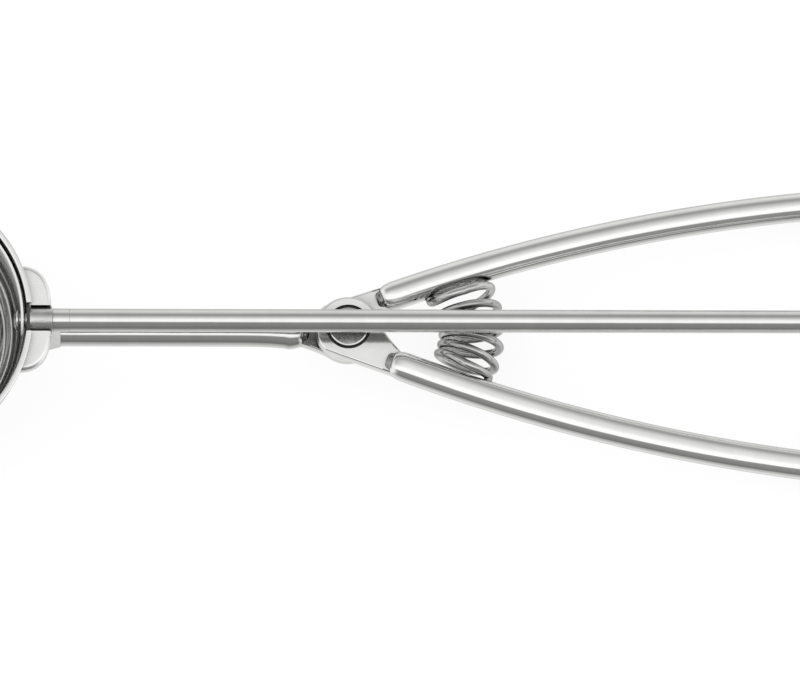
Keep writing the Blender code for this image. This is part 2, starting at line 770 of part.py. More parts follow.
def wire_object(name, points, diameter):
    """A tube along the points, with closed flat ends."""
    curve = bpy.data.curves.new(name, "CURVE")
    curve.dimensions = "3D"
    curve.bevel_depth = diameter / 2
    curve.bevel_resolution = 1
    curve.use_fill_caps = True
    line = curve.splines.new("POLY")
    line.points.add(len(points) - 1)
    for target, point in zip(line.points, points):
        target.co = (*point, 1.0)
    wire = bpy.data.objects.new(name, curve)
    bpy.context.scene.collection.objects.link(wire)
    bpy.context.view_layer.update()
    mesh = bpy.data.meshes.new_from_object(wire.evaluated_get(bpy.context.evaluated_depsgraph_get()))
    bpy.data.objects.remove(wire)
    bm = bmesh.new()
    bm.from_mesh(mesh)
    bmesh.ops.remove_doubles(bm, verts=bm.verts, dist=0.00001)
    bpy.data.meshes.remove(mesh)
    return new_object(name, bm)


# The scene starts empty
for old in list(bpy.data.objects):
    bpy.data.objects.remove(old)

polished = steel("polished_stainless", (0.70, 0.70, 0.71), 0.12)
brushed = steel("brushed_stainless", (0.66, 0.66, 0.67), 0.28)
pressed = steel("satin_stainless", (0.72, 0.72, 0.73), 0.24)
machined = steel("machined_stainless", (0.60, 0.60, 0.61), 0.22)
spring_steel = steel("spring_stainless", (0.52, 0.52, 0.54), 0.18)
cast = steel("cast_stainless", (0.55, 0.55, 0.56), 0.38)


def empty(name, parent, location):
    item = bpy.data.objects.new(name, None)
    bpy.context.scene.collection.objects.link(item)
    item.parent = parent
    item.location = location
    return item


tool = empty("tool", None, (0, 0, 0))
lever_axis = empty("lever_axis", tool, (0, 0, 0))
shaft_line = Vector((0, 0, SHAFT_HEIGHT))
scraper_axis = empty("scraper_axis", tool, shaft_line)

# Pivot rivet, with a flush head in the top tab and a peened foot below
rivet_shank = RIVET_SHANK_DIAMETER / 2
rivet_head = RIVET_HEAD_DIAMETER / 2
head_seat = STACK_TOP - RIVET_HEAD_DEPTH + SEAT_GAP
washer_top = -STACK_TOP - SEAT_GAP
foot_seat = washer_top - WASHER_THICKNESS - SEAT_GAP
foot_radius = RIVET_FOOT_DIAMETER / 2
pivot_rivet = turned("pivot_rivet", [
    (0, foot_seat - RIVET_FOOT_HEIGHT), (foot_radius * 0.7, foot_seat - RIVET_FOOT_HEIGHT * 0.9),
    (foot_radius, foot_seat - RIVET_FOOT_HEIGHT * 0.3), (foot_radius, foot_seat),
    (rivet_shank, foot_seat), (rivet_shank, head_seat), (rivet_head, head_seat),
    (rivet_head, STACK_TOP - 0.1 * MM), (rivet_head - 0.3 * MM, STACK_TOP + 0.15 * MM),
    (0, STACK_TOP + 0.3 * MM),
], 24, "Z")
finish(pivot_rivet, brushed, tool)
washer = tube("pivot_washer", rivet_shank + SEAT_GAP, WASHER_DIAMETER / 2,
              washer_top - WASHER_THICKNESS, washer_top, 24, "Z")
finish(washer, pressed, tool)

# Fixed handle: the lower one, with the top tab
fixed_handle = join(handle_bar("fixed_handle", -1), handle_tab(-1))
counterbore = upright_bore(rivet_head + SEAT_GAP * 1.2, 0, 0, STACK_TOP - RIVET_HEAD_DEPTH)
foot_middle, foot_heading = handle_point(handle_distance_at(DRIVE_RADIUS + 2 * MM), -1)
foot_along = Vector((math.cos(foot_heading), math.sin(foot_heading)))
rivet_places = [foot_middle + foot_along * YOKE_RIVET_SPACING / 2 * k for k in (-1, 1)]
small_bore = SMALL_RIVET_DIAMETER / 2 + RUNNING_GAP
cut(fixed_handle, counterbore, upright_bore(rivet_shank + RUNNING_GAP, 0, 0), spring_hole(-1),
    *[upright_bore(small_bore, *place) for place in rivet_places])
finish(fixed_handle, polished, tool)

# Lever handle: the upper one, with the middle tab and the rack's slot
lever_handle = join(handle_bar("lever_handle", 1), handle_tab(1))
rack_seat = handle_point(handle_distance_at(DRIVE_RADIUS), 1)[0]
slot = box("rack_slot",
           (-RACK_WIDTH / 2 - SEAT_GAP, -2 * BAR_RADIUS, RACK_BOTTOM - SEAT_GAP),
           (RACK_WIDTH / 2 + SEAT_GAP, 2 * BAR_RADIUS, RACK_ROOT + SEAT_GAP))
seat_angle = math.atan2(rack_seat.y, rack_seat.x)
move_mesh(slot, Matrix.Translation((*rack_seat, 0)) @ Matrix.Rotation(seat_angle, 4, "Z"))
cut(lever_handle, upright_bore(rivet_shank + RUNNING_GAP, 0, 0), slot, spring_hole(1),
    upright_bore(small_bore, *rack_seat))
finish(lever_handle, polished, lever_axis)

# Spine, from the pivot's bottom tab to its socket on the bowl
spine_shoulder = -SPINE_SHOULDER_REACH
spine_end = -BOWL_REACH + BOWL_RADIUS * 0.8
spine_stations = [(spine_shoulder, 0, math.pi), (spine_end, 0, math.pi)]
spine_bar = bar_along("spine_bar", spine_stations, SPINE_LEVEL, SHOULDER_DOME, BAR_RADIUS * 0.3)
join(spine_bar, tab("spine_tab", SPINE_LEVEL, 0, -spine_shoulder, Vector((-1, 0)), Vector((0, 1))))
cut(spine_bar, upright_bore(rivet_shank + RUNNING_GAP, 0, 0), bowl_clear_ball("spine_trim"))
finish(spine_bar, polished, tool)

# Bowl, with the shaft's hole and the far pin's hole on one line
bowl = turned("bowl", bowl_profile(), BOWL_SIDES, "Z")
move_mesh(bowl, Matrix.Translation(BOWL_CENTRE))
shaft_hole = on_shaft(rod("shaft_hole", JOURNAL_RADIUS + SEAT_GAP, -BOWL_REACH, -BOWL_REACH + 2 * BOWL_RADIUS))
pin_hole = on_shaft(rod("pin_hole", SPIGOT_RADIUS + RUNNING_GAP, -BOWL_REACH - 2 * BOWL_RADIUS, -BOWL_REACH))
cut(bowl, shaft_hole, pin_hole)
finish(bowl, polished, tool)

# Socket that holds the spine on the bowl's wall
socket_front = -BOWL_REACH + BOWL_RADIUS + SOCKET_OVERHANG * 0.85
bore_radius = BAR_RADIUS + RUNNING_GAP
socket_radius = bore_radius + SOCKET_WALL
socket_back = -BOWL_REACH + BOWL_RADIUS * 0.8
socket = turned("spine_socket", [
    (bore_radius, socket_back), (socket_radius, socket_back), (socket_radius, socket_front - SOCKET_WALL * 0.7),
    (socket_radius - SOCKET_WALL * 0.7, socket_front), (bore_radius, socket_front), (bore_radius, socket_back),
])
move_mesh(socket, Matrix.Translation((0, 0, SPINE_LEVEL)))
cut(socket, bowl_clear_ball("socket_trim"))
finish(socket, pressed, tool)

# Neck plate: a pressed cover with a turned-down skirt and a cradle for the collar
journal_bore = JOURNAL_RADIUS + RUNNING_GAP
collar_radius = journal_bore + COLLAR_WALL
cradle_inside = collar_radius + CRADLE_GAP
neck_top = SHAFT_HEIGHT + NECK_TOP_ABOVE_SHAFT
neck_back = NECK_FRONT - NECK_LENGTH - BOWL_RADIUS * 0.25


def neck_outline(inset):
    """The plate's plan: broad at the bowl, with rounded front corners."""
    width = NECK_HALF_WIDTH - inset
    front = NECK_FRONT - inset
    corner = [
        Vector((front, width * 0.23)), Vector((front, width * 0.64)),
        Vector((front - NECK_CORNER * 0.26, width * 0.98)), Vector((front - NECK_CORNER, width)),
    ]
    side = [tuple(bezier(*corner, k / 8)) for k in range(9)]
    side.append((neck_back - inset, width))
    return side + [(x, -y) for x, y in reversed(side)]


neck_plate = prism("neck_plate", neck_outline(0), neck_top - NECK_SKIRT, neck_top)
cut(neck_plate, prism("neck_hollow", neck_outline(NECK_SHEET), neck_top - 2 * NECK_SKIRT, neck_top - NECK_SHEET))
join(neck_plate, trough("cradle", cradle_inside + NECK_CRADLE_WALL, neck_back + 0.1 * MM,
                        NECK_FRONT - 0.1 * MM, neck_top - 0.1 * MM))
cut(neck_plate,
    trough("cradle_bore", cradle_inside, neck_back - MM, NECK_FRONT + MM, neck_top + MM),
    bowl_clear_ball("neck_trim"))
finish(neck_plate, pressed, tool)

collar = on_shaft(tube("shaft_collar", journal_bore, collar_radius, neck_back, NECK_FRONT))
cut(collar, bowl_clear_ball("collar_trim", BOWL_RADIUS + BOWL_BEAD + SEAT_GAP))
finish(collar, pressed, tool)

# Far pin, riveted in the bowl's wall: the blade's second eye turns on it
pin_outside = -BOWL_REACH - BOWL_RADIUS - SEAT_GAP
pin_inside = -BOWL_REACH - BLADE_RADIUS + BLADE_THICKNESS + SEAT_GAP
pin_head = PIN_HEAD_DIAMETER / 2
blade_pin = on_shaft(turned("blade_pivot_pin", [
    (0, pin_outside - PIN_HEAD_HEIGHT), (pin_head * 0.7, pin_outside - PIN_HEAD_HEIGHT * 0.85),
    (pin_head, pin_outside - PIN_HEAD_HEIGHT * 0.3), (pin_head, pin_outside),
    (SPIGOT_RADIUS, pin_outside), (SPIGOT_RADIUS, pin_inside),
    (pin_head, pin_inside), (pin_head, pin_inside + PIN_HEAD_HEIGHT * 0.4),
    (pin_head * 0.7, pin_inside + PIN_HEAD_HEIGHT), (0, pin_inside + PIN_HEAD_HEIGHT),
], 20))
finish(blade_pin, machined, tool)

# Scraper blade, riveted on the shaft's inner end
blade = blade_mesh("scraper_blade")
eye = SPIGOT_RADIUS + RUNNING_GAP
cut(blade, on_shaft(rod("blade_eyes", eye, -BOWL_REACH - BOWL_RADIUS, -BOWL_REACH + BOWL_RADIUS)))
finish(blade, brushed, scraper_axis, shaft_line)

# Shaft: peened head, spigot, journal, long body, groove for the end ring
blade_outside = -BOWL_REACH + BLADE_RADIUS
blade_inside = blade_outside - BLADE_THICKNESS
sleeve_start = NECK_FRONT + SEAT_GAP
body_start = sleeve_start + SLEEVE_LENGTH + SEAT_GAP
groove_radius = SHAFT_RADIUS - END_GROOVE_DEPTH
groove_start = RING_START - SEAT_GAP
groove_end = RING_START + END_RING_THICKNESS + SEAT_GAP
inner_head = blade_inside - SEAT_GAP
shaft = on_shaft(turned("shaft", [
    (0, inner_head - PIN_HEAD_HEIGHT), (pin_head * 0.7, inner_head - PIN_HEAD_HEIGHT),
    (pin_head, inner_head - PIN_HEAD_HEIGHT * 0.4), (pin_head, inner_head),
    (SPIGOT_RADIUS, inner_head), (SPIGOT_RADIUS, blade_outside + SEAT_GAP),
    (JOURNAL_RADIUS, blade_outside + SEAT_GAP), (JOURNAL_RADIUS, body_start),
    (SHAFT_RADIUS, body_start), (SHAFT_RADIUS, groove_start), (groove_radius, groove_start),
    (groove_radius, groove_end), (SHAFT_RADIUS, groove_end), (SHAFT_RADIUS, SHAFT_END - 0.5 * MM),
    (SHAFT_RADIUS - 0.5 * MM, SHAFT_END), (0, SHAFT_END),
]))
pin_station = DRIVE_RADIUS + PINION_FACE / 2 + PINION_HUB_LENGTH / 2
cross_radius = PINION_PIN_DIAMETER / 2
cross_hole = upright_bore(cross_radius + RUNNING_GAP, pin_station, 0, -10 * MM, 10 * MM)
cut(shaft, on_shaft(cross_hole))
finish(shaft, polished, scraper_axis, shaft_line)

sleeve = on_shaft(tube("thrust_sleeve", journal_bore, journal_bore + SLEEVE_WALL,
                       sleeve_start, sleeve_start + SLEEVE_LENGTH))
finish(sleeve, machined, scraper_axis, shaft_line)

# Pinion with its hub, its cross pin, and the ring that keeps the shaft in the yoke
outline = pinion_outline()
pinion = prism("pinion", outline, -PINION_FACE / 2, PINION_FACE / 2)
hub = rod("hub", PINION_HUB_DIAMETER / 2, 0, PINION_FACE / 2 + PINION_HUB_LENGTH, ROUND_SIDES, "Z")
join(pinion, hub)
cut(pinion, rod("pinion_bore", SHAFT_RADIUS + RUNNING_GAP, -20 * MM, 20 * MM, ROUND_SIDES, "Z"))
move_mesh(pinion, Matrix.Translation((DRIVE_RADIUS, 0, 0)) @ Matrix.Rotation(math.pi / 2, 4, "Y"))
cut(pinion, upright_bore(cross_radius + RUNNING_GAP, pin_station, 0, -10 * MM, 10 * MM))
finish(on_shaft(pinion), machined, scraper_axis, shaft_line)

pin_length = PINION_HUB_DIAMETER / 2 - 0.1 * MM
pinion_pin = rod("pinion_pin", cross_radius, -pin_length, pin_length, 12, "Z")
move_mesh(pinion_pin, Matrix.Translation((pin_station, 0, SHAFT_HEIGHT)))
finish(pinion_pin, machined, scraper_axis, shaft_line)

end_ring = tube("shaft_end_ring", groove_radius + RUNNING_GAP, groove_radius + RUNNING_GAP + END_RING_WIDTH,
                RING_START, RING_START + END_RING_THICKNESS)
cut(end_ring, box("ring_mouth", (RING_START - MM, -groove_radius * 0.7, 0),
                  (RING_START + 2 * MM, groove_radius * 0.7, 10 * MM)))
finish(on_shaft(end_ring), spring_steel, scraper_axis, shaft_line)

# Rack on the lever, and the rivet that holds it in its slot
rack = bent("rack", rack_stations(-2, 6), DRIVE_RADIUS - RACK_WIDTH / 2, DRIVE_RADIUS + RACK_WIDTH / 2)
cut(rack, upright_bore(small_bore, *rack_seat))
finish(rack, machined, lever_axis)
rack_rivet = small_rivet("rack_rivet", *rack_seat, LEVER_LEVEL, LEVER_LEVEL + BAR_RADIUS + SEAT_GAP)
finish(rack_rivet, machined, lever_axis)

# Yoke: two walls and a floor bent about the pivot, with an eye in each wall
# for the shaft and a foot on top of the fixed handle


def bar_side_angle(reach, beyond):
    """The angle, at a reach, of a line `beyond` the fixed bar's centre line."""
    return handle_angle_at(reach, -1) - beyond / reach


def wall_stations(reach):
    """A wall's side view at one reach: the arm that passes over the fixed bar
    to the foot, the channel's side, and the round eye for the shaft."""
    near = bar_side_angle(reach, -BAR_RADIUS - 2 * SEAT_GAP) * DRIVE_RADIUS
    over = bar_side_angle(reach, BAR_RADIUS * 0.5) * DRIVE_RADIUS
    bottom = CHANNEL_FLOOR - YOKE_FLOOR
    stations = [(over, FOOT_BOTTOM, FOOT_TOP), (near, FOOT_BOTTOM, FOOT_TOP)]
    stations += [(near + STEP_RUN, bottom, FOOT_TOP), (-YOKE_EYE_RADIUS - STEP_RUN, bottom, FOOT_TOP)]
    steps = 12
    for i in range(steps + 1):
        turn = math.pi * (1 - i / steps)
        top = SHAFT_HEIGHT + YOKE_EYE_RADIUS * math.sin(turn)
        stations.append((YOKE_EYE_RADIUS * math.cos(turn), bottom, top))
    return stations


walls = [
    bent("wall", wall_stations(inner + YOKE_WALL / 2), inner, inner + YOKE_WALL)
    for inner in (CHANNEL_INNER - YOKE_WALL, CHANNEL_OUTER)
]
yoke = sector("pinion_yoke", CHANNEL_INNER - YOKE_WALL / 2, CHANNEL_OUTER + YOKE_WALL / 2,
              bar_side_angle(CHANNEL_OUTER, -BAR_RADIUS - 1.5 * MM), YOKE_EYE_RADIUS / DRIVE_RADIUS * 0.95,
              CHANNEL_FLOOR - YOKE_FLOOR + 0.1 * MM, CHANNEL_FLOOR)
foot = box("foot", (-YOKE_FOOT_LENGTH / 2, -BAR_RADIUS * 0.9, FOOT_BOTTOM - 0.05 * MM),
           (YOKE_FOOT_LENGTH / 2, BAR_RADIUS * 0.9, FOOT_TOP - 0.1 * MM))
move_mesh(foot, Matrix.Translation((*foot_middle, 0)) @ Matrix.Rotation(foot_heading, 4, "Z"))
join(yoke, *walls, foot)
stop_angle = -STOP_PIN_REACH / DRIVE_RADIUS
stop_pin_place = Matrix.Rotation(stop_angle, 4, "Z") @ Matrix.Translation((0, 0, STOP_PIN_HEIGHT))
stop_bore = rod("stop_bore", STOP_PIN_DIAMETER / 2 + RUNNING_GAP, 0.8 * DRIVE_RADIUS, 1.2 * DRIVE_RADIUS, 12)
cut(yoke,
    on_shaft(rod("shaft_bore", SHAFT_RADIUS + RUNNING_GAP, 0.8 * DRIVE_RADIUS, 1.2 * DRIVE_RADIUS)),
    move_mesh(stop_bore, stop_pin_place),
    *[upright_bore(small_bore, *place) for place in rivet_places])
finish(yoke, cast, tool)

stop_pin = rod("rack_stop_pin", STOP_PIN_DIAMETER / 2, CHANNEL_INNER - YOKE_WALL + SEAT_GAP,
               CHANNEL_OUTER + YOKE_WALL - SEAT_GAP, 12)
finish(move_mesh(stop_pin, stop_pin_place), machined, tool)
for name, place in zip(("yoke_rivet_front", "yoke_rivet_rear"), rivet_places):
    finish(small_rivet(name, *place, FIXED_LEVEL, FOOT_TOP + SEAT_GAP), machined, tool)

# Return spring
wire_line = spring_points()
spring = wire_object("return_spring", wire_line, SPRING_WIRE)
finish(spring, spring_steel, tool)
print(f"return_spring least gap to itself: {least_gap(wire_line, SPRING_WIRE) / MM:.2f} mm")

# Resting pose: the table touches three balls, the bowl's and those of the two
# handle ends, so the tool turns until their common tangent plane is level.
# Then its box's bottom centre comes to the origin
lever_end, fixed_end = (Vector((*handle_point(HANDLE_LENGTH, side)[0], level(side))) for side in (1, -1))
across = (lever_end - fixed_end).normalized()
span = lever_end - BOWL_CENTRE
span -= across * span.dot(across)
drop = (BAR_RADIUS - BOWL_RADIUS) / span.length
span.normalize()
upward = span * drop + span.cross(across) * math.sqrt(1 - drop ** 2)
forward = (Vector((1, 0, 0)) - upward * upward.x).normalized()
tool.rotation_euler = Matrix((forward, upward.cross(forward), upward)).to_euler()
bpy.context.view_layer.update()
corners = [item.matrix_world @ vertex.co
           for item in bpy.data.objects if item.type == "MESH" for vertex in item.data.vertices]
low = Vector([min(corner[k] for corner in corners) for k in range(3)])
high = Vector([max(corner[k] for corner in corners) for k in range(3)])
tool.location = (-(low.x + high.x) / 2, -(low.y + high.y) / 2, -low.z)
bpy.context.view_layer.update()
turns = [round(math.degrees(v), 3) for v in tool.rotation_euler]
print(f"resting turn {turns} deg, box {[round(v / MM, 2) for v in high - low]} mm")
print(f"lever travel {math.degrees(LEVER_TRAVEL):.3f} deg, gear ratio {GEAR_RATIO:.4f}")
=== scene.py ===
# %% [markdown]
# # A portion scoop in polished stainless steel
#
# The real tool is a pair of tongs whose squeeze turns a half-round blade through a round bowl.
# Almost every part of it is bare steel, so this lesson is about two things: clean round
# forms whose highlights run without a kink, and a soft studio whose light and dark sides
# draw those forms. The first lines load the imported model, which fixes every size.

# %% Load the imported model
import json
import math

import bmesh
import bpy
from mathutils import Matrix, Vector


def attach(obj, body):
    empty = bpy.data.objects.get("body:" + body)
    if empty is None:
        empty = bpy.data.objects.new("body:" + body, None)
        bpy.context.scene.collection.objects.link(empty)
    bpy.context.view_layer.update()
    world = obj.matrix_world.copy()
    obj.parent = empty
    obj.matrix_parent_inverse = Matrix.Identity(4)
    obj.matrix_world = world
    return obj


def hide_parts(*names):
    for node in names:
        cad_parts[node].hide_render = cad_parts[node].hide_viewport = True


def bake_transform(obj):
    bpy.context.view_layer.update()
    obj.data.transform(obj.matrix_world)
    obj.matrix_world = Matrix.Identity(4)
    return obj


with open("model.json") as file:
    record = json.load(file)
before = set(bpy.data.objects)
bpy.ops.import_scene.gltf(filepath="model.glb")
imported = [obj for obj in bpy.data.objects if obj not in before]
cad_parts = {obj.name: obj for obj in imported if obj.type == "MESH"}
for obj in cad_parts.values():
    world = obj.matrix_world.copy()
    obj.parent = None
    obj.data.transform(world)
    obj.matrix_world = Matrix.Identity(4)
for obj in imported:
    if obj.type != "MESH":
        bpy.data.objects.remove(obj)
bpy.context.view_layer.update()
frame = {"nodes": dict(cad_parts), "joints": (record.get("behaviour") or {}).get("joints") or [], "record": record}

MM = 0.001

# %% [markdown]
# ## The tool's own frame
#
# On the table the scoop lies a little tipped, because its bowl is deeper than its handles.
# It is much easier to model it level: pivot at the origin, handles towards +X, mouth of the
# bowl towards +Z, all in millimetres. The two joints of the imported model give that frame,
# since the handles turn about its Z axis and the blade about its X axis.

# %% Find the tool's frame from its two joints
joints = {joint["name"]: joint for joint in frame["joints"]}
PIVOT = Vector(joints["lever_squeeze"]["pos_m"])
tool_z = -Vector(joints["lever_squeeze"]["axis"]).normalized()
tool_x = -Vector(joints["scraper_turn"]["axis"]).normalized()
tool_y = tool_z.cross(tool_x).normalized()
tool_x = tool_y.cross(tool_z)
TOOL = Matrix.Translation(PIVOT) @ Matrix((tool_x, tool_y, tool_z)).transposed().to_4x4()
SHAFT_HEIGHT = (Vector(joints["scraper_turn"]["pos_m"]) - PIVOT).length / MM
print("shaft above the pivot's plane:", round(SHAFT_HEIGHT, 2), "mm")

# %% [markdown]
# ## Sizes
#
# These are the real sizes in millimetres, round stock by its radius: 6 mm bar, 4.8 mm shaft
# and 2 mm flats, on a bowl of about a twentieth of a litre. Only what several pieces share is
# here, and other sizes stand where they are first used. GAP lies between pieces that rest on
# each other, and RUNNING round a piece that turns. BURIED_END is a place inside the bowl's
# wall, where the spine and its socket begin before they are trimmed to the bowl.

# %% Shared sizes in millimetres
GAP = 0.3
RUNNING = 0.2
BAR = 3.0
SHAFT = 2.4
JOURNAL = 1.9
SPIGOT = 1.4
TAB_THICKNESS = 2.0
TAB_RADIUS = 6.7
DRIVE = 118.0
BOWL_REACH = 95.0
BOWL = 28.3
BOWL_WALL = 0.9
WALL_OUTSIDE = -BOWL_REACH + BOWL
BURIED_END = -BOWL_REACH + BOWL * 0.8
LAYER = TAB_THICKNESS + GAP
STACK_TOP = LAYER + TAB_THICKNESS / 2
LEVELS = {"fixed": LAYER, "lever": 0.0, "spine": -LAYER}
SHAFT_LINE = (0, 0, SHAFT_HEIGHT)
BOWL_CENTRE = Vector((-BOWL_REACH, 0, SHAFT_HEIGHT))
print("bowl", 2 * BOWL, "mm wide, flats stacked to", STACK_TOP, "mm above the pivot's middle")

# %% [markdown]
# ## Mesh helpers
#
# Turned, drawn and bent steel is all rings of points joined by skins, so one function skins
# rings and lays a grain map on them in millimetres: u runs round a ring and v runs along the
# skin. The finishes use that map, so drawing lines follow a bent bar.

# %% A skin over rings of points


def toward(angle):
    """The plan direction at an angle."""
    return Vector((math.cos(angle), math.sin(angle)))


def aside_of(angle):
    """The plan direction a quarter turn to the left of that."""
    return Vector((-math.sin(angle), math.cos(angle)))


def skin(bm, rings, girth):
    """Joins rings of points into a skin; a ring of one point is a tip."""
    grain = bm.loops.layers.uv.verify()
    rows = [[bm.verts.new(point) for point in ring] for ring in rings]
    along = [0.0]
    for low, high in zip(rings, rings[1:]):
        along.append(along[-1] + (Vector(high[0]) - Vector(low[0])).length)
    for r, (low, high) in enumerate(zip(rows, rows[1:])):
        count = max(len(low), len(high))
        for i in range(count):
            j = (i + 1) % count
            corners = []
            if len(low) == 1:
                corners.append((low[0], i + 0.5, r))
            else:
                corners += [(low[j], i + 1, r), (low[i], i, r)]
            if len(high) == 1:
                corners.append((high[0], i + 0.5, r + 1))
            else:
                corners += [(high[i], i, r + 1), (high[j], i + 1, r + 1)]
            face = bm.faces.new([corner[0] for corner in corners])
            for loop, (_, across, ring) in zip(face.loops, corners):
                loop[grain].uv = (across / count * girth, along[ring])
    return rows


# %% [markdown]
# A mesh becomes an object in millimetres of the tool's frame. Holes and joints between two
# shapes are made with the Boolean modifier and its exact solver, applied at once, because a
# bored hole then has a true round edge.

# %% Objects, cuts and joins


def linked(name, data):
    """A new object with this data, linked into the scene."""
    item = bpy.data.objects.new(name, data)
    bpy.context.scene.collection.objects.link(item)
    return item


def mesh_object(name, bm):
    """A new object from a bmesh as it is."""
    mesh = bpy.data.meshes.new(name)
    bm.to_mesh(mesh)
    bm.free()
    return linked(name, mesh)


def body(name, bm):
    """An object with its faces outward, from a bmesh in millimetres of the tool's frame."""
    bmesh.ops.scale(bm, vec=(MM, MM, MM), verts=bm.verts)
    bmesh.ops.recalc_face_normals(bm, faces=bm.faces)
    if bm.calc_volume(signed=True) < 0:
        bmesh.ops.reverse_faces(bm, faces=bm.faces)
    return mesh_object(name, bm)


def apply_modifiers(item):
    """Gives an object the mesh that its modifiers make, and removes them."""
    bpy.context.view_layer.update()
    evaluated = item.evaluated_get(bpy.context.evaluated_depsgraph_get())
    mesh = bpy.data.meshes.new_from_object(evaluated)
    item.modifiers.clear()
    item.data = mesh


def combine(item, tools, operation):
    """Cuts an object with others, or joins them to it, and removes the others."""
    for tool in tools:
        modifier = item.modifiers.new(operation.title(), "BOOLEAN")
        modifier.operation = operation
        modifier.solver = "EXACT"
        modifier.object = tool
    apply_modifiers(item)
    for tool in tools:
        bpy.data.objects.remove(tool)
    return item


def cut(item, *tools):
    """Takes the tools' shapes away from an object."""
    return combine(item, tools, "DIFFERENCE")


def join(item, *tools):
    """Makes an object and the tools' shapes one."""
    return combine(item, tools, "UNION")


# %% [markdown]
# Real edges are never quite sharp, and it is their small rounds that catch the light. The
# next functions ease every corner of a turned profile and of a flat plate. An extra ring just
# inside each round keeps the flat next to it flat in the shading.

# %% Eased profiles and turned bodies
MOST_OF_SIDE = 0.4
PAST_ROUND = 1.15


def eased(profile, radius, steps=4):
    """Rounds the corners of a profile; its two ends stay, unless it is closed."""
    closed = profile[0] == profile[-1]
    core = [Vector(point) for point in (profile[:-1] if closed else profile)]
    result = []
    for i, here in enumerate(core):
        if not closed and i in (0, len(core) - 1):
            result.append(here)
            continue
        back = core[i - 1] - here
        on = core[(i + 1) % len(core)] - here
        reach = min(radius, back.length * MOST_OF_SIDE, on.length * MOST_OF_SIDE)
        start = here + back.normalized() * reach
        end = here + on.normalized() * reach
        result.append(here + back.normalized() * reach * PAST_ROUND)
        for k in range(steps + 1):
            t = k / steps
            result.append(start * (1 - t) ** 2 + here * 2 * t * (1 - t) + end * t ** 2)
        result.append(here + on.normalized() * reach * PAST_ROUND)
    if closed:
        result.append(result[0].copy())
    return [tuple(point) for point in result]


def turned(name, profile, axis="X", centre=(0, 0, 0), sides=96, ease=0.15):
    """Turns a profile of (radius, station) points about the X or Z axis."""
    if ease:
        profile = eased(profile, ease)
    closed = profile[0] == profile[-1]
    centre = Vector(centre)
    rings = []
    for radius, station in profile:
        ring = []
        for k in range(sides if radius > 1e-6 else 1):
            angle = 2 * math.pi * k / sides
            across, up = radius * math.cos(angle), radius * math.sin(angle)
            spot = (station, across, up) if axis == "X" else (across, up, station)
            ring.append(centre + Vector(spot))
        rings.append(ring)
    bm = bmesh.new()
    skin(bm, rings, 2 * math.pi * max(radius for radius, _ in profile))
    if closed:
        bmesh.ops.remove_doubles(bm, verts=bm.verts, dist=1e-5)
    return body(name, bm)


# %% [markdown]
# A drill is a plain rod that is cut away. A plate is pressed or forged sheet: a plan outline
# drawn up between two heights, whose outline is set in a little at both to round its edges.
# The Bevel modifier could round them too, but an outline with many short sides holds it back.

# %% Drills and plates
BEYOND = 20.0
PLATE_PAST_ROUND = 1.2


def drill(radius, start, end, sides=64):
    """A plain rod between two points, for boring a hole."""
    start, end = Vector(start), Vector(end)
    turn = (end - start).to_track_quat("Z", "X").to_matrix()
    rings = [[start]]
    for centre in (start, end):
        ring = []
        for k in range(sides):
            angle = 2 * math.pi * (k + 0.5) / sides
            ring.append(centre + turn @ Vector((radius * math.cos(angle), radius * math.sin(angle), 0)))
        rings.append(ring)
    rings.append([end])
    bm = bmesh.new()
    skin(bm, rings, 2 * math.pi * radius)
    return body("drill", bm)


def upright_drill(radius, x=0.0, y=0.0, low=-BEYOND, sides=64):
    """A drill that stands at a place in plan and goes out through the top."""
    return drill(radius, (x, y, low), (x, y, BEYOND), sides)


def inset(outline, distance):
    """Moves a plan outline, which runs anticlockwise, inwards."""
    result = []
    for i, here in enumerate(outline):
        before = (here - outline[i - 1]).normalized()
        after = (outline[(i + 1) % len(outline)] - here).normalized()
        way = (before + after).normalized()
        result.append(here + Vector((-way.y, way.x)) * distance)
    return result


def plate(name, outline, bottom, top, ease_low, ease_high, steps=6, draft=0.0):
    """A plan outline drawn up between two heights, with eased edges.

    draft is how far its sides lean in on the way up.
    """
    area = sum(a.x * b.y - b.x * a.y for a, b in zip(outline, outline[1:] + outline[:1]))
    if area < 0:
        outline = outline[::-1]
    turns = [math.pi / 2 * k / steps for k in range(steps + 1)]
    levels = [(ease_low * PLATE_PAST_ROUND, bottom)]
    for t in turns:
        levels.append((ease_low * (1 - math.sin(t)), bottom + ease_low * (1 - math.cos(t))))
    for t in turns:
        levels.append((draft + ease_high * (1 - math.cos(t)), top - ease_high * (1 - math.sin(t))))
    levels.append((draft + ease_high * PLATE_PAST_ROUND, top))
    rings = [[Vector((p.x, p.y, height)) for p in inset(outline, depth)] for depth, height in levels]
    bm = bmesh.new()
    rows = skin(bm, rings, sum((a - b).length for a, b in zip(outline, outline[1:])))
    grain = bm.loops.layers.uv.verify()
    for row in (rows[0], rows[-1]):
        face = bm.faces.new(row)
        for loop in face.loops:
            loop[grain].uv = (loop.vert.co.x, loop.vert.co.y)
    bmesh.ops.remove_doubles(bm, verts=bm.verts, dist=1e-5)
    return body(name, bm)


# %% [markdown]
# ## Light and colour helpers
#
# Colours are written as the sRGB hex values that a paint chart or an eyedropper gives, and
# the renderer works in linear light, so one function converts them. Another one adds a
# shader node together with its settings and links.

# %% Colour and node helpers


def linear(code):
    """Linear RGBA of an sRGB hex colour such as D8D8D6."""
    shades = []
    for k in (0, 2, 4):
        share = int(code[k:k + 2], 16) / 255
        shades.append(share / 12.92 if share <= 0.04045 else ((share + 0.055) / 1.055) ** 2.4)
    return (*shades, 1.0)


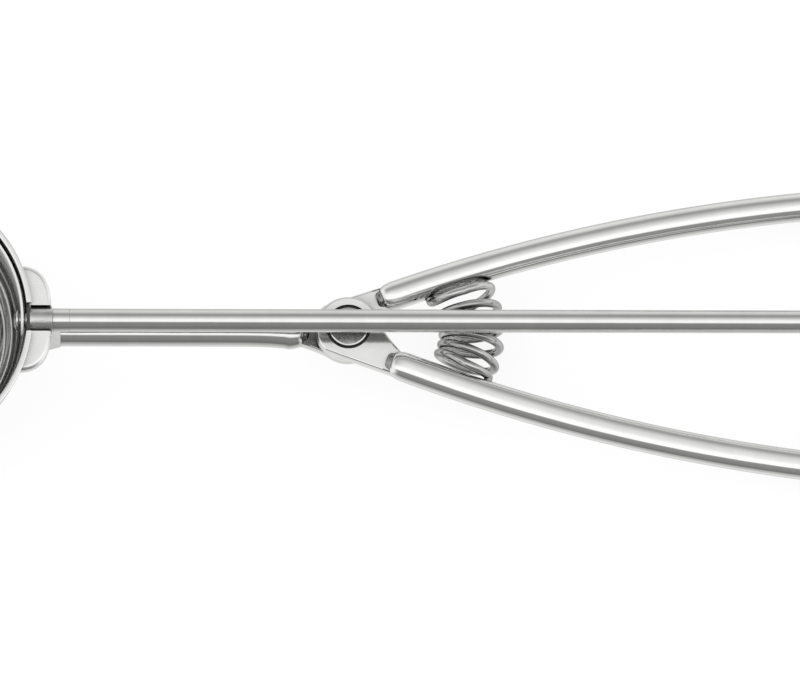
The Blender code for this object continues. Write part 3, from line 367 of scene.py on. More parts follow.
def add(tree, kind, sockets=None, **settings):
    """Adds a node; sockets gives each input a value or another node's output."""
    item = tree.nodes.new("ShaderNode" + kind)
    for key, value in settings.items():
        setattr(item, key, value)
    for key, value in (sockets or {}).items():
        if isinstance(value, bpy.types.NodeSocket):
            tree.links.new(value, item.inputs[key])
        else:
            item.inputs[key].default_value = value
    return item


# %% [markdown]
# ## The finishes
#
# The whole tool is one chromium-nickel stainless steel, a metal with the default IOR. What
# differs is how each surface was made, and that is what the eye reads: drawn and polished bar,
# a spun bowl with rings from the polishing wheel, satin pressed sheet, turned pins, bright
# spring wire and a tumbled casting.
#
# Each finish has three patterns. A fine grain, stretched the way the surface was worked, lifts
# it by some thousandths of a millimetre, or hundredths on the casting, and changes how sharp
# the reflection is. A slow wave left by polishing makes the edges of reflections waver, as they
# do on real bar. Larger places are a little darker. Real polishing lines are about 0.02 mm
# apart. That is far too fine to show, so they are drawn 0.2 to 0.6 mm apart.
#
# An image of scratched metal would be one way to do this. Noise in millimetres is better here:
# it has no seam, and it follows a bent bar through the grain map.

# %% One function for every steel finish
CORNER_SHADE_REACH = 5.0
CORNER_DARK, CORNER_OPEN = 0.25, 0.95
GRAIN_LOW, GRAIN_HIGH = 0.3, 0.7


def steel(name, clean, dull, grain, roughness, lift, wave=(3.0, 3.0, 0.0), patches=(9.0, 9.0),
          mapped=True, metallic=1.0, shade=0.4, spread=0.2, fade=None):
    """A stainless finish.

    clean and dull are its sRGB colours, grain its pattern's sizes in mm, roughness
    a (least, most) pair and lift the grain's height. wave is the polishing wave's
    two sizes and its height, and patches the two sizes of the darker places.
    mapped takes the grain map, and otherwise the pattern follows the tool's frame.
    shade is how much of its colour a surface keeps deep in a corner, where ambient
    occlusion paints shade, and a small spread makes the darker places crisp. fade is
    the two heights above the floor, in mm, between which they grow from nothing to
    their full strength.
    """
    material = bpy.data.materials.new(name)
    material.use_nodes = True
    tree = material.node_tree
    shader = tree.nodes["Principled BSDF"]
    source = add(tree, "TexCoord")
    in_mm = add(tree, "VectorMath", {0: source.outputs["Object"], "Scale": 1 / MM}, operation="SCALE")
    pattern = source.outputs["UV"] if mapped else in_mm.outputs[0]
    kinds = {
        "fine": (grain, 3.0, 0.6),
        "slow": ((wave[0], wave[1], wave[0]), 1.0, 0.5),
        "patch": ((patches[0], patches[1], patches[0]), 4.0, 0.65),
    }
    noise = {}
    for kind, (sizes, detail, rough) in kinds.items():
        scaled = add(tree, "Mapping", {0: pattern, "Scale": tuple(1 / size for size in sizes)})
        sockets = {"Vector": scaled.outputs[0], "Scale": 1.0, "Detail": detail, "Roughness": rough}
        noise[kind] = add(tree, "TexNoise", sockets).outputs[0]
    tone = add(tree, "MapRange", {0: noise["patch"], 1: 0.5 - spread, 2: 0.5 + spread})
    if fade:
        height = add(tree, "SeparateXYZ", {0: in_mm.outputs[0]}).outputs["Z"]
        full = add(tree, "MapRange", {0: height, 1: fade[0], 2: fade[1]})
        tone = add(tree, "Math", {0: tone.outputs[0], 1: full.outputs[0]}, operation="MULTIPLY")
    colour = add(tree, "Mix", {0: tone.outputs[0], 6: linear(clean), 7: linear(dull)}, data_type="RGBA")
    # Painted shade: ambient occlusion darkens the colour in corners, creases and under close parts
    near = add(tree, "AmbientOcclusion", {"Distance": CORNER_SHADE_REACH * MM}, samples=6).outputs["AO"]
    corner = add(tree, "MapRange", {0: near, 1: CORNER_DARK, 2: CORNER_OPEN, 3: shade})
    sockets = {0: colour.outputs[2], "Scale": corner.outputs[0]}
    shaded = add(tree, "VectorMath", sockets, operation="SCALE")
    sockets = {0: noise["fine"], 1: GRAIN_LOW, 2: GRAIN_HIGH, 3: roughness[0], 4: roughness[1]}
    gloss = add(tree, "MapRange", sockets)
    lines = add(tree, "Bump", {"Distance": lift * MM, "Height": noise["fine"]})
    sockets = {"Distance": wave[2] * MM, "Height": noise["slow"], "Normal": lines.outputs[0]}
    waves = add(tree, "Bump", sockets)
    shader.inputs["Metallic"].default_value = metallic
    for socket, last in (("Base Color", shaded), ("Roughness", gloss), ("Normal", waves)):
        tree.links.new(last.outputs[0], shader.inputs[socket])
    return material


# %% [markdown]
# Sizes of a pattern are given round a ring, along the skin, and through it. EVEN is so large
# that nothing changes round the bowl, which was turning while it was polished.
#
# A deep bowl mirrors itself many times. The renderer follows only a few of these mirrors and
# then shows black, so what stands in such a place is made less metallic, and the dark rings of
# those mirrors are painted into the bowl's colour as darker places, painted reflections which
# fade out towards its bottom.

# %% Finishes of the bars and the bowl
EVEN = 1e6
LENGTHWISE = (0.35, 9.0, 1.0)
BAR_WAVE = (1.5, 45.0, 0.012)
FINISHES = {
    # Drawn bar, polished along its length: crisp bands that waver a little
    "polished_bar": steel(
        "polished_stainless_bar", "EDEDEB", "E2E2E1", LENGTHWISE, (0.045, 0.085), 0.004, BAR_WAVE),
    # The handles are buffed once more, and are the brightest bars
    "handle_bar": steel(
        "buffed_stainless_handle_bar", "FAFAF8", "F0F0EE", LENGTHWISE, (0.04, 0.075), 0.004, BAR_WAVE),
    # Wire is drawn but not buffed, so it is greyer, with dark streaks along it, and deep painted shade darkens it
    # between its turns
    "spring": steel(
        "drawn_stainless_spring_wire", "E6E6E5", "969695", (0.3, 6.0, 1.0), (0.05, 0.09), 0.003,
        (2.0, 20.0, 0.012), (2.6, 16.0), shade=0.05),
    # The bead is buffed round, and looks almost white from above
    "rim": steel(
        "buffed_stainless_rim", "FAFAF9", "F2F2F1", (9.0, 0.3, 1.0), (0.08, 0.14), 0.003, shade=0.75),
    # Spinning leaves rings that are only just seen in the highlight
    "bowl_outside": steel(
        "polished_spun_stainless_outside", "E9E9E8", "DCDCDB", (22.0, 0.4, 1.0), (0.04, 0.08), 0.003,
        (EVEN, 4.0, 0.02), (EVEN, 3.0)),
    # Inside, crisp dark rings are painted reflections of the bowl mirroring itself
    "bowl_inside": steel(
        "spun_stainless_inside_painted_reflection_rings", "E2E2E1", "484847", (22.0, 0.5, 1.0), (0.03, 0.06), 0.002,
        (EVEN, 2.6, 0.02), (EVEN, 3.0), metallic=0.9, shade=0.9, spread=0.07, fade=(2.0, 14.0)),
    # The blade is brushed along its strip, so it is pale with long grey streaks
    "brushed": steel(
        "brushed_stainless_strip", "FDFDFC", "D2D2D1", (0.22, 7.0, 1.0), (0.14, 0.26), 0.01,
        patches=(1.2, 30.0), metallic=0.12, shade=1.0, spread=0.12),
}

# %% [markdown]
# Sheet, castings and turned parts are duller than the bars, each in its own way. A matt white
# with little metal is a painted highlight. Painted shade darkens the ring round the rivet's head,
# the lowest flat, and the step where a bar was forged.

# %% Finishes of sheet, turned parts and places that no wheel reaches
ROLLED = (0.25, 0.25, 0.25)
FINISHES.update({
    # Pressed sheet has a satin skin without a direction
    "satin": steel(
        "satin_pressed_stainless_sheet", "FFFFFE", "F5F5F4", ROLLED, (0.24, 0.36), 0.006,
        (4.0, 4.0, 0.03), mapped=False, shade=0.45),
    # A ground flat still mirrors what stands over it, as a soft band, and strong painted shade darkens it under
    # what stands close over it
    "ground_flat": steel(
        "ground_stainless_flat", "FDFDFC", "EFEFEE", ROLLED, (0.1, 0.18), 0.004,
        (4.0, 4.0, 0.02), mapped=False, shade=0.25),
    # The lowest flat and one step are painted darker, a painted shade and painted reflection of what stands over
    # them
    "painted_shade_satin": steel(
        "satin_stainless_sheet_painted_shade", "BEBEBD", "8E8E8D", ROLLED, (0.2, 0.3), 0.006,
        (3.0, 3.0, 0.05), (2.5, 2.5), mapped=False, shade=0.3),
    # Forging leaves uneven grey lines across the other steps
    # The other steps are painted dark with uneven grey lines, a painted shade and reflection in their hollow
    "shoulder": steel(
        "shoulder_step_painted_shade", "B4B4B3", "5E5E5D", (0.5, 9.0, 1.0), (0.08, 0.16), 0.01,
        (6.0, 0.8, 0.04), (20.0, 0.6), shade=0.3),
    # A peened and much rubbed head is grey and mottled
    "rivet": steel(
        "worn_stainless_rivet", "DADAD9", "AEAEAD", (0.6, 0.6, 0.6), (0.16, 0.34), 0.015,
        (1.2, 1.2, 0.03), (3.0, 3.0), mapped=False),
    # A lathe leaves rings round a pin
    "machined": steel(
        "turned_stainless", "DEDEDD", "C8C8C7", (14.0, 0.25, 1.0), (0.16, 0.26), 0.01),
    # A milling cutter leaves short lines across the rack and along the pinion's teeth
    "cut": steel(
        "milled_stainless", "DADAD9", "C2C2C1", (5.0, 0.3, 0.3), (0.2, 0.32), 0.01, mapped=False),
    # Tumbling leaves a casting evenly matt and slightly lumpy
    "cast": steel(
        "tumbled_cast_stainless", "D3D3D2", "B9B9B8", (0.7, 0.7, 0.7), (0.3, 0.42), 0.05,
        (2.5, 2.5, 0.06), mapped=False),
    # A matt white with little metal: a painted highlight on the socket, and two painted reflections of bright arcs
    # in the bowl
    "white_painted_highlight": steel(
        "matt_white_painted_highlight", "FFFFFD", "F2F2F0", (0.5, 0.5, 0.5), (0.4, 0.55), 0.02,
        (2.0, 2.0, 0.04), mapped=False, metallic=0.1, shade=1.0),
    # The bush is drawn tube, rubbed dull by the turning shaft
    "worn_bush": steel(
        "worn_drawn_bush", "E4E4E3", "B8B8B7", (0.5, 5.0, 1.0), (0.2, 0.34), 0.015,
        (1.4, 6.0, 0.02), (1.6, 5.0), shade=0.85),
    # A narrow gap is painted nearly black, a painted shade
    "painted_gap_shade": steel(
        "dark_painted_gap_shade", "626261", "434342", (0.4, 0.4, 0.4), (0.3, 0.5), 0.01,
        mapped=False, metallic=0.6, shade=0.8),
})
print("finishes:", ", ".join(sorted(FINISHES)))

# %% [markdown]
# ## Hanging the pieces on the model
#
# Every piece stands for one node of the imported model, which is hidden, and rides on the same
# body as that node. The spring is left in place, on no body.

# %% Placing a finished piece
BODY_OF = {}
for body_name, members in frame["record"]["behaviour"]["bodies"].items():
    for member in members:
        BODY_OF[member] = body_name


def mark(item, finish, chosen):
    """Gives a finish to the faces whose middle and normal, in the tool's frame, are chosen."""
    item.data.materials.append(FINISHES[finish])
    slot = len(item.data.materials) - 1
    for face in item.data.polygons:
        if chosen(face.center / MM, face.normal):
            face.material_index = slot


def settle(item, node, finish, sharp=32, marks=(), ends=None):
    """Shades a piece, gives it its finish and lets it stand for its node.

    ends, when given, leaves the piece in place on no body; its two points are not used.
    """
    item.name = node + "_piece"
    item.data.name = item.name
    item.data.shade_smooth()
    item.data.set_sharp_from_angle(angle=math.radians(sharp))
    item.data.materials.clear()
    item.data.materials.append(FINISHES[finish])
    for extra, chosen in marks:
        mark(item, extra, chosen)
    item.data.transform(TOOL)
    if ends:
        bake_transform(item)
    else:
        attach(item, BODY_OF[node])
    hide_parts(node)
    print(f"{item.name}: {len(item.data.polygons)} faces, on {BODY_OF[node]}")


# %% [markdown]
# ## The handles and the spine
#
# Each of these starts as a straight 6 mm bar. One end is forged flat into a round-nosed
# tab, and the handles are then bent to a long even arc. Here the bar is a skin along that arc
# with a domed shoulder, the tab is an eased plate whose edges curve from its round nose to the
# bar, and the two are joined. A bevelled curve would sweep the bar too, but a skin gives each
# ring its own size, which the shoulder needs. Each tab lies in the middle of its own bar, so
# the three bars lie at three heights, as the tabs do in their stack.

# %% The handles' centre line
SHOULDER = 11.6
SHOULDER_START = {1: -1.0, -1: 1.2}
ARC_RADIUS = 369.0
ARC = math.radians(20.35)
LEAN = math.radians(-0.76)
OVERRUN = 16.5
HALVINGS = 40


def handle_point(distance, side):
    """A point of a handle's centre line and its heading; side is +1 for the lever."""
    heading = ARC - distance / ARC_RADIUS
    shoulder = toward(ARC) * SHOULDER + aside_of(ARC) * (TAB_RADIUS - BAR)
    x = shoulder.x + ARC_RADIUS * (math.sin(ARC) - math.sin(heading))
    y = shoulder.y + ARC_RADIUS * (math.cos(heading) - math.cos(ARC))
    return Matrix.Rotation(LEAN, 2) @ Vector((x, side * y)), side * heading + LEAN


def handle_distance_at(reach, origin=Vector((0, 0)), side=1):
    """How far along a handle its centre line is that far from an origin."""
    low, high = 0.0, 2 * (origin.length + reach)
    for _ in range(HALVINGS):
        middle = (low + high) / 2
        if (handle_point(middle, side)[0] - origin).length < reach:
            low = middle
        else:
            high = middle
    return (low + high) / 2


HANDLE_LENGTH = handle_distance_at(DRIVE + OVERRUN)
print("each handle's bar is", round(HANDLE_LENGTH), "mm long")

# %% [markdown]
# The forging dies squared each bar's section very slightly. Here it is a rounded square whose
# power would be 2 for a circle. A shoulder is a list of rings, each with its shift along the
# bar and its share of the full size: a first small dome, a waist, and then the bar's own dome.

# %% A bar with a forged shoulder
SECTION_POWER = {"fixed": 2.65, "lever": 2.25, "spine": 2.3}
BAR_SIDES = 64
DOME_STEPS = 12
SHOULDER_STEPS = [
    (-3.0, 0.0), (-2.98, 0.2), (-2.9, 0.38), (-2.7, 0.52), (-2.4, 0.6), (-2.05, 0.63), (-1.8, 0.645),
    (-1.62, 0.68), (-1.45, 0.745), (-1.15, 0.82), (-0.7, 0.89), (-0.1, 0.945), (0.6, 0.98), (1.4, 1.0),
]
SHOULDER_END = 2.0


def bar(name, stations, height, end_dome, widen=lambda distance: 1.0):
    """A bar through (point, heading) stations, with a forged shoulder and a domed end.

    widen gives how much wider than high it is at a distance along it.
    """
    power = SECTION_POWER[name]
    section = []
    for k in range(BAR_SIDES):
        turn = 2 * math.pi * (k + 0.5) / BAR_SIDES
        c, s = math.cos(turn), math.sin(turn)
        reach = (abs(c) ** power + abs(s) ** power) ** (-1 / power)
        section.append((c * reach, s * reach))

    def ring(station, shift, size, wide=1.0):
        point, heading = station
        centre = (point + toward(heading) * shift).to_3d() + Vector((0, 0, height))
        if size < 1e-6:
            return [centre]
        aside = aside_of(heading).to_3d()
        return [centre + aside * size * wide * c + Vector((0, 0, size * s)) for c, s in section]

    rings = [ring(stations[0], shift, BAR * share, widen(0)) for shift, share in SHOULDER_STEPS]
    walk = 0.0
    for before, station in zip(stations, stations[1:]):
        walk += (station[0] - before[0]).length
        if walk > SHOULDER_END:
            rings.append(ring(station, 0, BAR, widen(walk)))
    for k in range(1, DOME_STEPS + 1):
        turn = math.pi / 2 * k / DOME_STEPS
        size = BAR * math.cos(turn) if k < DOME_STEPS else 0
        rings.append(ring(stations[-1], end_dome * math.sin(turn), size))
    bm = bmesh.new()
    skin(bm, rings, 2 * math.pi * BAR)
    return body(name, bm)


# %% [markdown]
# A tab's nose is a disc about the pivot. Each flank leaves the disc at an angle and curves into
# the bar. On a handle, the outer flank is the straight edge of the flattened bar, so the nose
# has a soft corner where that edge runs on. The dies let the sides lean in a little. A disc
# joined to a block would show a corner between the two, so one outline goes round both.

# %% A forged tab
TAB_FLARE = math.radians(55)
TAB_CORNER = 0.55
TAB_CORNER_TURN = math.radians(120)
TAB_CORNER_SPREAD = math.radians(38)
TAB_OUTER_SPREAD = 0.28
TAB_EASE = 0.3
TAB_DRAFT = 0.35
TAB_HALF = BAR * 0.9
TAB_ROOT = BAR * 0.7
FLANK_PULL = 0.35
FLANK_STEPS = 16
NOSE_STEPS = 120


def bezier(p0, p1, p2, p3, t):
    """A point of a cubic curve between p0 and p3."""
    return p0 * (1 - t) ** 3 + p1 * 3 * t * (1 - t) ** 2 + p2 * 3 * t ** 2 * (1 - t) + p3 * t ** 3


def nose_radius(turn, edge):
    """How far a tab's nose reaches: a disc, and a soft corner where its outer edge runs on."""
    off = abs(turn - TAB_CORNER_TURN) / TAB_CORNER_SPREAD
    reach = TAB_RADIUS + (TAB_CORNER * math.cos(off * math.pi / 2) if off < 1 else 0)
    return min(reach, edge / math.sin(turn)) if turn < TAB_CORNER_TURN else reach


def tab(height, offset, shoulder, along, aside):
    """A forged flat: a round nose on the pivot that narrows to a strip in the bar."""
    flanks = []
    for edge, hand in ((offset + TAB_HALF, 1), (offset - TAB_HALF, -1)):
        straight = offset > 0 and hand > 0
        flare = 0.0 if straight else TAB_FLARE * (1 - abs(edge) / TAB_RADIUS)
        at_nose = edge + TAB_OUTER_SPREAD if straight else edge
        turn = math.asin(at_nose / TAB_RADIUS) + hand * flare
        root = toward(turn) * TAB_RADIUS
        foot = Vector((shoulder, edge))
        lead = root - aside_of(turn) * hand * (foot - root).length * FLANK_PULL
        if straight:
            lead = foot.lerp(root, 1 - FLANK_PULL)
        near, far = foot.lerp(lead, 2 / 3), root.lerp(lead, 2 / 3)
        curve = [bezier(foot, near, far, root, k / FLANK_STEPS) for k in range(FLANK_STEPS)]
        flanks.append((turn, curve))
    (first, far_curve), (last, near_curve) = flanks
    last += 2 * math.pi
    outline = list(far_curve)
    for i in range(NOSE_STEPS + 1):
        turn = first + (last - first) * i / NOSE_STEPS
        radius = nose_radius(turn, offset + TAB_HALF + TAB_OUTER_SPREAD) if offset > 0 else TAB_RADIUS
        outline.append(toward(turn) * radius)
    outline += reversed(near_curve)
    end = shoulder + TAB_ROOT
    outline += [Vector((end, offset - TAB_HALF)), Vector((end, offset + TAB_HALF))]
    points = [along * spot.x + aside * spot.y for spot in outline]
    bottom = height - TAB_THICKNESS / 2
    return plate("tab", points, bottom, bottom + TAB_THICKNESS, TAB_EASE, TAB_EASE, 6, TAB_DRAFT)


# %% [markdown]
# A polishing wheel reaches the bars, but not every face of the forging. The flats are ground,
# and the step in front of each bar is painted darker, a painted shade of its hollow. Such faces
# could be picked by hand in the editor. These functions pick them by their place, which still
# holds when a size changes.

# %% Picking the flats and the steps
FLAT_SLACK = 0.02
STEP_FROM, STEP_TO = -2.8, -1.4
STEP_SLACK = 0.1


def ground_flat(level):
    """Picks a tab's two flat faces, which are ground, not polished."""

    def chosen(middle, normal):
        off = abs(abs(middle.z - level) - TAB_THICKNESS / 2)
        return off < FLAT_SLACK and abs(normal.z) > 1 - FLAT_SLACK

    return chosen


def forged_step(place, along, level):
    """Picks the step of a bar's shoulder, which is painted darker: painted shade in its hollow."""

    def chosen(middle, normal):
        past = (middle.to_2d() - place).dot(along)
        return STEP_FROM < past < STEP_TO and abs(middle.z - level) > TAB_THICKNESS / 2 - STEP_SLACK

    return chosen


def step_of(side, level):
    """Picks the step of a handle."""
    place, heading = handle_point(SHOULDER_START[side], side)
    return forged_step(place, toward(heading), level)


# %% [markdown]
# Both handles are made by one function, on either side of the shaft, with a pivot hole and a
# blind hole for one tail of the spring. The Mirror modifier would make two equal handles, but
# their tabs lie at two heights and their shoulders begin at two places.

# %% One handle
RIVET_SHANK = 2.2
SMALL_RIVET = 1.2
SPRING_WIRE = 1.8
TAIL_REACH = {1: 18.9, -1: 31.6}
TAIL_DEPTH = SPRING_WIRE * 0.4
HANDLE_STEPS = 60


def handle(name, side):
    """A handle's bar and tab in one, bored for the pivot and the spring."""
    level = LEVELS[name]
    start = SHOULDER_START[side]
    walks = [start + (HANDLE_LENGTH - start) * i / HANDLE_STEPS for i in range(HANDLE_STEPS + 1)]
    item = bar(name, [handle_point(walk, side) for walk in walks], level, BAR)
    heading = handle_point(0, side)[1]
    outward = aside_of(heading) * side
    join(item, tab(level, TAB_RADIUS - BAR, SHOULDER + start, toward(heading), outward))
    point, heading = handle_point(handle_distance_at(TAIL_REACH[side]), side)
    inward = aside_of(heading) * -side
    deep = point - inward * TAIL_DEPTH
    out = point + inward * BAR * 2
    tail_hole = drill(SPRING_WIRE / 2 + RUNNING, (*deep, level), (*out, level))
    return cut(item, tail_hole, upright_drill(RIVET_SHANK + RUNNING))


# %% [markdown]
# The fixed handle carries the top tab, with a counterbore for the rivet's flush head, and two
# small holes for the yoke's rivets. The narrow ring round the rivet's head gets a finish painted
# nearly black, a painted shade of the gap, and the step in front of the bar is painted darker
# too. A dark ring on a whole flat would look painted from the side, so the counterbore is really
# bored.

# %% The fixed handle
RIVET_HEAD = 4.1
RIVET_HEAD_DEPTH = 1.1
COUNTERBORE = RIVET_HEAD + 0.62
COUNTERBORE_FLOOR = STACK_TOP - RIVET_HEAD_DEPTH
YOKE_MIDDLE = DRIVE + 2
YOKE_RIVET_HALF = 8.5


def sunk_ring(middle, normal):
    """Picks the counterbore round the rivet's head."""
    sunk = COUNTERBORE_FLOOR - 0.1 < middle.z < STACK_TOP - 0.15
    return sunk and math.hypot(middle.x, middle.y) < COUNTERBORE + 0.05


fixed_handle = handle("fixed", -1)
foot_middle, foot_heading = handle_point(handle_distance_at(YOKE_MIDDLE), -1)
yoke_rivets = [foot_middle + toward(foot_heading) * YOKE_RIVET_HALF * k for k in (-1, 1)]
cut(fixed_handle, upright_drill(COUNTERBORE, low=COUNTERBORE_FLOOR, sides=128),
    *[upright_drill(SMALL_RIVET + RUNNING, *place) for place in yoke_rivets])
# Its step and the ring round the rivet's head are painted darker: painted shade
settle(fixed_handle, "fixed_handle", "handle_bar", marks=[
    ("ground_flat", ground_flat(LEVELS["fixed"])),
    ("painted_shade_satin", step_of(-1, LEVELS["fixed"])),
    ("painted_gap_shade", sunk_ring),
])

# %% [markdown]
# The lever has the middle tab. Near its end a slot is milled through it for the rack, which
# points at the pivot, and one rivet goes down through both. A rack pushed through a whole bar
# would look almost the same, but then two solid pieces would fill one place.

# %% The lever handle
RACK_BOTTOM, RACK_BODY, RACK_WIDTH = 0.45, 1.4, 5.0
SLOT_EASE = 0.05
rack_seat = handle_point(handle_distance_at(DRIVE), 1)[0]
slot_way = rack_seat.normalized()
slot_corners = []
for a, b in ((-1, -1), (1, -1), (1, 1), (-1, 1)):
    spot = rack_seat + slot_way * a * (RACK_WIDTH / 2 + GAP)
    spot += Vector((-slot_way.y, slot_way.x)) * b * 2 * BAR
    slot_corners.append(spot)
slot_low, slot_high = RACK_BOTTOM - GAP, RACK_BOTTOM + RACK_BODY + GAP
slot_tool = plate("slot", slot_corners, slot_low, slot_high, SLOT_EASE, SLOT_EASE, 1)
lever_handle = handle("lever", 1)
cut(lever_handle, slot_tool, upright_drill(SMALL_RIVET + RUNNING, *rack_seat))
# The lever's step is painted darker: painted shade in its hollow
settle(lever_handle, "lever_handle", "handle_bar", marks=[
    ("ground_flat", ground_flat(LEVELS["lever"])), ("shoulder", step_of(1, LEVELS["lever"])),
])

# %% [markdown]
# The spine is a short straight bar with the lowest tab. It is a little wider than high where
# the tab was forged, and its far end is hollowed to lie on the bowl. That end could be shaped
# by hand, but one ball about the bowl's centre trims it and everything else that meets the bowl.

# %% The spine, from the bottom tab to the bowl
SPINE_SHOULDER = 11.0
SPINE_STEPS = 24
SPINE_SWELL = 0.2
SPINE_SWELL_END = 11.0
BALL_STEPS = 96


def forged_width(distance):
    """How much wider than high the spine is where its tab was forged."""
    share = max(0.0, 1 - distance / SPINE_SWELL_END)
    return 1 + SPINE_SWELL * share * share


def ball(radius):
    """A ball about the bowl's centre, which trims what meets the bowl."""
    profile = []
    for i in range(BALL_STEPS + 1):
        turn = math.pi * i / BALL_STEPS
        wide = radius * math.sin(turn) if 0 < i < BALL_STEPS else 0
        profile.append((wide, -radius * math.cos(turn)))
    return turned("ball", profile, "Z", BOWL_CENTRE, 192, 0)


spine_reach = BURIED_END + SPINE_SHOULDER
spine_stations = [(Vector((-SPINE_SHOULDER + spine_reach * k / SPINE_STEPS, 0)), math.pi)
                  for k in range(SPINE_STEPS + 1)]
spine = bar("spine", spine_stations, LEVELS["spine"], BAR * 0.3, forged_width)
join(spine, tab(LEVELS["spine"], 0, SPINE_SHOULDER, Vector((-1, 0)), Vector((0, 1))))
cut(spine, upright_drill(RIVET_SHANK + RUNNING), ball(BOWL + GAP))
spine_step = forged_step(Vector((-SPINE_SHOULDER, 0)), Vector((-1, 0)), LEVELS["spine"])
# The spine's flats are painted darker: painted shade and painted reflection of the shaft and tabs over them
settle(spine, "spine_bar", "polished_bar", marks=[
    ("painted_shade_satin", ground_flat(LEVELS["spine"])), ("shoulder", spine_step),
])

# %% [markdown]
# ## The bowl
#
# The bowl is spun from sheet and then polished inside and out on a wheel, which leaves very
# faint rings. Its lip stands up straight and its edge is turned into a narrow flat bead. A
# half ball with Solidify would be quick, but its wall would be the same everywhere. So it is
# one closed profile turned about an upright axis, with 256 sides so that its rim stays a true
# circle in the picture. Two holes are bored on the shaft's line, and a notch is cut into the
# lip above the shaft.

# %% The bowl's shape
LIP = 3.5
LIP_WALL = 0.65
BEAD = 0.5
BEAD_LOW = LIP - 1.0
BOWL_STEPS = 72
COLLAR = JOURNAL + RUNNING + 0.7
SLOT = COLLAR + 0.22
NOTCH_LOW = SHAFT_HEIGHT + 2.3
NOTCH_DEPTH = 0.75
inside_radius = BOWL - BOWL_WALL


def quarter(radius):
    """A quarter circle as a profile, from the bowl's lowest point up to its middle."""
    turns = [math.pi / 2 * i / BOWL_STEPS for i in range(BOWL_STEPS + 1)]
    return [(radius * math.sin(turn) if turn else 0, -radius * math.cos(turn)) for turn in turns]


outside, inside = quarter(BOWL), quarter(inside_radius)[::-1]
# The bead's outer side, its flat top, the soft inner edge of the lip, and the lip's wall
rim = eased([
    outside[-1], (BOWL, BEAD_LOW - 0.25), (BOWL + BEAD, BEAD_LOW + 0.1), (BOWL + BEAD, LIP),
    (BOWL - LIP_WALL + 0.3, LIP), (BOWL - LIP_WALL + 0.05, LIP - 0.2), (BOWL - LIP_WALL, LIP - 0.6),
    (BOWL - LIP_WALL - 0.03, 1.2), inside[0],
], 0.24, 6)
bowl = turned("bowl", outside[:-1] + rim + inside[1:], "Z", BOWL_CENTRE, 256, 0)
ACROSS = Vector((2 * BOWL, 0, 0))
cut(bowl, drill(JOURNAL + GAP, BOWL_CENTRE, BOWL_CENTRE + ACROSS),
    drill(SPIGOT + RUNNING, BOWL_CENTRE, BOWL_CENTRE - ACROSS))
notch_in, notch_out = WALL_OUTSIDE - NOTCH_DEPTH, WALL_OUTSIDE + 4
notch_corners = [Vector((notch_in, -SLOT)), Vector((notch_out, -SLOT)), Vector((notch_out, SLOT)),
                 Vector((notch_in, SLOT))]
cut(bowl, plate("notch", notch_corners, NOTCH_LOW, NOTCH_LOW + 9, SLOT_EASE, SLOT_EASE, 1))
print("bowl:", len(bowl.data.polygons), "faces")

# %% [markdown]
# Outside, inside and rim were polished apart, and each has its own finish. A real bowl also
# shows crisp bright arcs, where its wall mirrors the wall again and again. The renderer's few
# mirrors don't reach them, so two are painted as bright lines round the wall, painted
# reflections at two slopes in degrees below the mouth. The notch above the shaft is painted
# nearly black, a painted shade in its gap. The lip's inner wall stands a little outside the
# ball's inner radius, and belongs to the inside too.

# %% The bowl's finishes
BRIGHT_LINES = (26.9, 33.1)
BRIGHT_LINE_HALF = 0.63
BEYOND_IN_PLAN = 0.35
BEYOND_IN_SPACE = 1.0


def in_notch(middle, normal):
    """Picks the notch in the lip above the shaft."""
    deep = middle.x > WALL_OUTSIDE - NOTCH_DEPTH - 0.05
    return deep and abs(middle.y) < SLOT + 0.02 and middle.z > NOTCH_LOW - 0.02


def in_bowl(middle, normal):
    """Picks the wall inside the bowl, with the lip's straight wall."""
    spot = middle - BOWL_CENTRE
    wide, far = math.hypot(spot.x, spot.y), spot.length
    within = wide < inside_radius + BEYOND_IN_PLAN and far < inside_radius + BEYOND_IN_SPACE
    return within and spot.z < LIP - 0.3 and normal.dot(spot) < 0


def bright_line(middle, normal):
    """Picks the two bright lines round the wall, painted reflections of arcs mirrored in it."""
    spot = middle - BOWL_CENTRE
    slope = math.degrees(math.asin(max(-1.0, min(1.0, -spot.z / spot.length))))
    off = min(abs(slope - line) for line in BRIGHT_LINES)
    return off < BRIGHT_LINE_HALF and in_bowl(middle, normal)


def on_rim(middle, normal):
    """Picks the bead and the flat on top of it."""
    return middle.z > BOWL_CENTRE.z + BEAD_LOW - 0.3 and not in_bowl(middle, normal)


settle(bowl, "bowl", "bowl_outside", marks=[
    ("bowl_inside", in_bowl), ("white_painted_highlight", bright_line), ("rim", on_rim), ("painted_gap_shade", in_notch),
])

# %% [markdown]
# ## The neck
#
# A small cover pressed from satin sheet sits between the bowl and the shaft. Its upper edge
# is well rounded by the press and its skirt turns down. The shaft's bush lies in a cradle let
# into its middle, whose slot leans in over it. A bent sheet with the Solidify modifier would
# do, but the round of an upper edge is easier to set on a plate. So the cover is a hollowed
# plate with a trough joined on and another cut out.

# %% Neck plate
NECK_LENGTH = 4.4
NECK_FRONT = WALL_OUTSIDE + NECK_LENGTH
NECK_BACK = NECK_FRONT - NECK_LENGTH - BOWL * 0.25
NECK_TOP = SHAFT_HEIGHT + 2.1
NECK_SKIRT = 2.4
NECK_SHEET = 1.0
NECK_EDGE = 0.9
NECK_HALF = 11.2
NECK_CORNER = 6.1
CORNER_PULLS = ((0.0, 0.23), (0.0, 0.64), (0.26, 0.98), (1.0, 1.0))
CRADLE_WALL = 0.8
SLOT_LEAN = 0.4
CORNER_STEPS = 32
TROUGH_STEPS = 40


